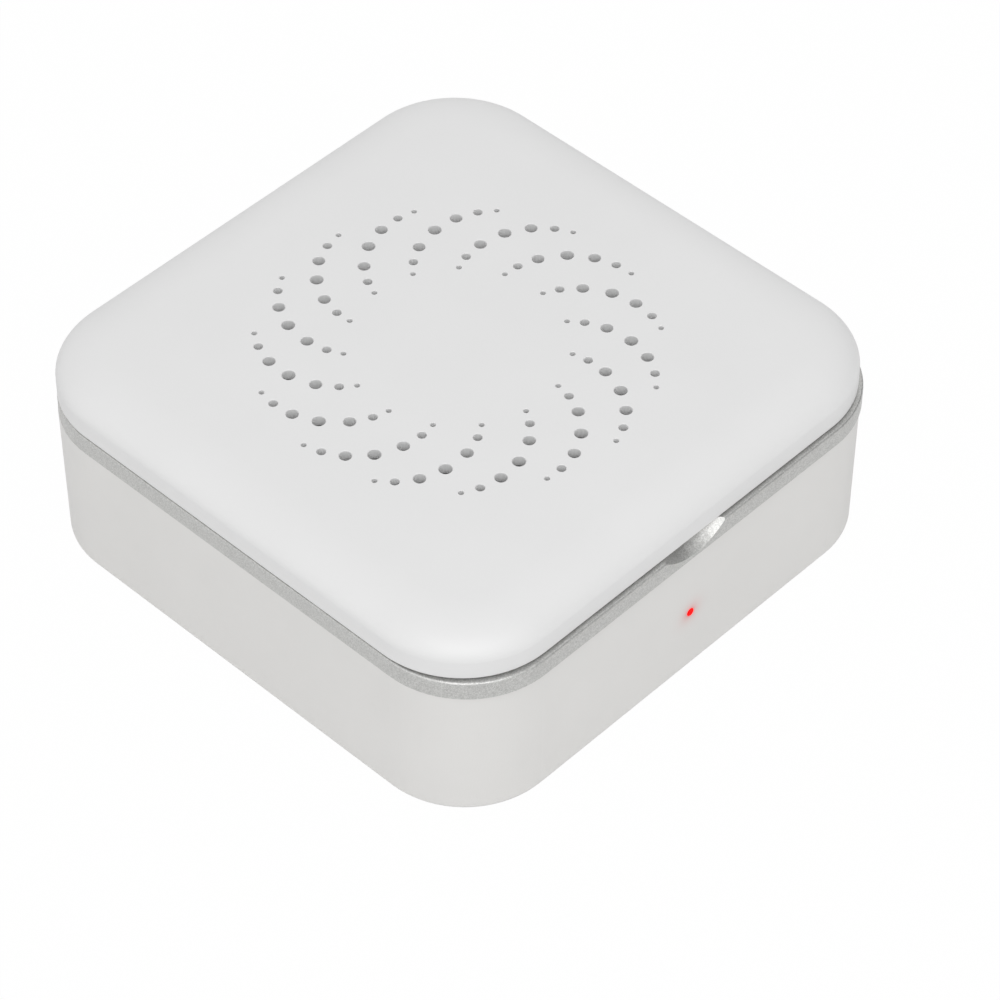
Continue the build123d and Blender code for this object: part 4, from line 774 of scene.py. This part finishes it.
for wide, long in ((0.2, 4.2), (4.2, 0.2)):
    scored = can_foot + Vector((0, 0, can_height - 0.06))
    groove = add_block(scored - Vector((wide / 2, long / 2, 0.15)), scored + Vector((wide / 2, long / 2, 0.2)))
    cut_away(cans, groove)
bpy.ops.object.mode_set(mode="EDIT")
bpy.ops.mesh.select_all(action="SELECT")
repeat((can_spacing, 0, 0))
settle(cans, "capacitor_cans", aluminium, "case", "can")
bungs = turned(can_foot, ((0, 0), (2.7, 0), (3.0, 0.1), (3.0, 0.36), (0, 0.36)), steps=32)
repeat((can_spacing, 0, 0))
settle(bungs, "capacitor_bungs", foot_rubber, "case", "foot_rubber")


# ---- Wire headers ----------------------------------------------------------------------------------------
# Five open-backed nylon headers along the board's rear edge, each with the plug of its leads pushed in, a
# window for the plug's catch, and two tinned tails in front.
wall = 0.45
groove_width = 0.14
header_nylon = make_finish(
    "natural_nylon", "#E6E2D6", "#DDD9CC", 3 * MM, 0.3 * MM, 0.008 * MM, 0.42, IOR=1.53
)
header_low, header_high = (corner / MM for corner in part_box("wire_connectors"))
header_width = 6.0
header_steps = [(12.0, 0, 0), (16.0, 0, 0), (16.0, 0, 0), (12.0, 0, 0)]
low = header_low
high = Vector((header_low.x + header_width, header_high.y, header_high.z))
middle_x = (low.x + high.x) / 2
middle_z = (low.z + high.z) / 2
headers = add_block(low, high)
bpy.ops.mesh.bevel(offset=0.12 * MM, segments=1, affect="EDGES")
pick_faces(headers, lambda middle, normal: normal.y > 0.9)
bpy.ops.mesh.inset(thickness=(wall - 0.12) * MM)
bpy.ops.mesh.inset(thickness=groove_width * MM)
groove_x = header_width / 2 - wall - groove_width / 2
groove_z = (high.z - low.z) / 2 - wall - groove_width / 2
pick_faces(headers, lambda middle, normal: normal.y > 0.9 and (
    abs(abs(middle.x - middle_x) - groove_x) < 0.03 or abs(abs(middle.z - middle_z) - groove_z) < 0.03))
stretch((0, -3.4, 0))
pick_faces(headers, lambda middle, normal: normal.z > 0.9 and middle.z > high.z - 0.01)
bpy.ops.mesh.inset(thickness=1.5 * MM)
stretch((0, 0, -(wall - 0.1)))
bpy.ops.mesh.select_all(action="SELECT")
repeat(*header_steps)
settle(headers, "pin_headers", header_nylon, "case", "header_white", "wire_connectors")
tails = add_block((middle_x - 1.25, low.y - 0.02, low.z + 0.9), (middle_x - 0.75, low.y + 0.3, low.z + 1.2))
pick_faces(tails, lambda middle, normal: normal.y < -0.9)
stretch((0, -0.2, -0.88), (0, -0.25, 0))
bpy.ops.mesh.select_all(action="SELECT")
repeat((2.0, 0, 0))
bpy.ops.mesh.select_all(action="SELECT")
repeat(*header_steps)
settle(tails, "header_tails", tinned, "case", "steel")


# ---- Small parts -----------------------------------------------------------------------------------------
# Chip resistors and ceramic capacitors soldered flat on the main board between the larger parts.
part_size = Vector((1.6, 0.8, 0.5))
cap_length = 0.32
lying = ((-8.6, -46.4), (-5.6, -46.4), (4.4, -46.4), (-22.0, -38.4), (22.6, -38.4), (-35.2, -45.0))
standing = ((5.2, -42.4), (7.4, -42.4), (5.2, -39.0), (-9.0, -43.4), (20.6, -45.6), (35.2, -45.0))
lacquer = make_finish(
    "black_lacquer", "#1D1E20", "#27282B", 1 * MM, 0.2 * MM, 0.004 * MM, 0.35, IOR=1.5
)
for name, places, long in (("lying", lying, (1, 0)), ("standing", standing, (0, 1))):
    along = Vector((long[0], long[1], 0))
    half = Vector((part_size.x, part_size.y, 0)) / 2 if long[0] else Vector((part_size.y, part_size.x, 0)) / 2
    rise = Vector((0, 0, part_size.z))
    steps = [Vector((*there, 0)) - Vector((*here, 0)) for here, there in zip(places, places[1:])]
    at = Vector((*places[0], board_top))
    chips = add_block(at - half + along * cap_length / 2, at + half - along * cap_length / 2 + rise * 0.94)
    bpy.ops.mesh.bevel(offset=0.04 * MM, segments=1, affect="EDGES")
    repeat(*steps)
    settle(chips, f"small_parts_{name}", lacquer, "case", "black_plastic")
    ends = add_block(at - half, at + half - along * (2 * half.dot(along) - cap_length) + rise)
    repeat(along * (2 * half.dot(along) - cap_length))
    bpy.ops.mesh.select_all(action="SELECT")
    bpy.ops.mesh.bevel(offset=0.06 * MM, segments=2, affect="EDGES")
    bpy.ops.mesh.select_all(action="SELECT")
    repeat(*steps)
    settle(ends, f"solder_ends_{name}", tinned, "case", "steel")


# ---- Status light ----------------------------------------------------------------------------------------
# Clear polycarbonate rod through the front wall, lit red from behind by the epoxy lamp that stands on the
# main board on two bent legs.
lit_rod = make_finish(
    "lit_polycarbonate", "#D80A0A", "#C80606", 1 * MM, 0.4 * MM, 0.002 * MM, 0.35, IOR=1.58,
    Specular_IOR_Level=0.02, Emission_Strength=0.9, Emission_Color=linear("#FF0606")
)
dress(lit_rod, "light_guide")
lamp_epoxy = make_finish(
    "red_epoxy", "#C81E1E", "#B41818", 2 * MM, 0.5 * MM, 0.003 * MM, 0.15, IOR=1.55, Transmission_Weight=0.35
)
dress(lamp_epoxy, "status_led")
lamp_low, lamp_high = (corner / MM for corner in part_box("status_led"))
lamp_axis = lamp_high.z - 1.5
legs = add_block((-1.5, lamp_high.y - 0.05, lamp_axis - 0.2), (-1.1, lamp_high.y + 0.5, lamp_axis + 0.2))
pick_faces(legs, lambda middle, normal: normal.y > 0.9)
stretch((0, 0.4, -0.15))
pick_faces(legs, lambda middle, normal: normal.z < -0.8 and middle.y > lamp_high.y + 0.5)
stretch((0, 0.1, board_top - lamp_axis + 0.25))
bpy.ops.mesh.select_all(action="SELECT")
repeat((2.6, 0, 0))
settle(legs, "lamp_legs", tinned, "case", "steel")


# ---- Power inlet -----------------------------------------------------------------------------------------
# Drawn steel socket on its own board in the rear wall. Its tongue carries two rows of gold contacts.
dress(tinned, "usb_socket")
socket_low, socket_high = (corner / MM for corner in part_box("usb_socket"))
tongue_middle = (socket_low.z + socket_high.z) / 2
tongue_half = 0.35
mouth = socket_high.y - 1.2
contacts = add_block((-2.2, mouth - 4.6, tongue_middle + tongue_half), (-1.82, mouth - 0.3, tongue_middle + tongue_half + 0.05))
bpy.ops.mesh.bevel(offset=0.02 * MM, segments=1, affect="EDGES")
repeat(*[(0.8, 0, 0)] * 5)
bpy.ops.mesh.select_all(action="SELECT")
repeat((0, 0, -2 * tongue_half - 0.05))
settle(contacts, "socket_contacts", gold, "case", "brass")


# ---- Leads -----------------------------------------------------------------------------------------------
# Stranded copper in soft red insulation, glass sleeves on the heater's leads, and a flat grey ribbon of
# six cores between the two boards, its edge core marked red, with painted shade along the furrows between its cores.
core_pitch = 1.0 * MM
insulation = make_finish(
    "red_insulation", "#B3261E", "#A52019", 3 * MM, 0.3 * MM, 0.005 * MM, 0.4, IOR=1.5
)
dress(insulation, "fan_wires", "inlet_wires", "uv_wires")
braid_pitch = 0.5 * MM
heater_sleeve = make_finish(
    "glass_sleeve", "#D9D4C6", "#CBC6B7", 1 * MM, braid_pitch / 2, 0.03 * MM, 0.6, IOR=1.5
)
dress(heater_sleeve, "heater_wires")
ribbon = make_finish(
    "ribbon_pvc", "#9EA1A4", "#94979A", 2 * MM, 0.3 * MM, 0.006 * MM, 0.45, IOR=1.5
)
ribbon_low, ribbon_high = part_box("switch_ribbon")
tree = ribbon.node_tree
place = add_node(tree, "TexCoord").outputs["Object"]
across = add_node(tree, "SeparateXYZ", {}, {0: place}).outputs["X"]
shifted = add_node(tree, "Math", {"operation": "SUBTRACT"}, {0: across, 1: ribbon_low.x}).outputs[0]
cores = add_node(tree, "Math", {"operation": "PINGPONG"}, {0: shifted, 1: core_pitch / 2}).outputs[0]
# Painted shade: a darker grey along the furrows between the cores.
painted_furrow_shade = add_node(tree, "Math", {"operation": "LESS_THAN"}, {0: cores, 1: core_pitch * 0.1}).outputs[0]
paint_over(ribbon, painted_furrow_shade, "#6F7275")
marked = add_node(tree, "Math", {"operation": "LESS_THAN"}, {0: shifted, 1: core_pitch * 0.9}).outputs[0]
paint_over(ribbon, marked, "#A8332B")
dress(ribbon, "switch_ribbon")
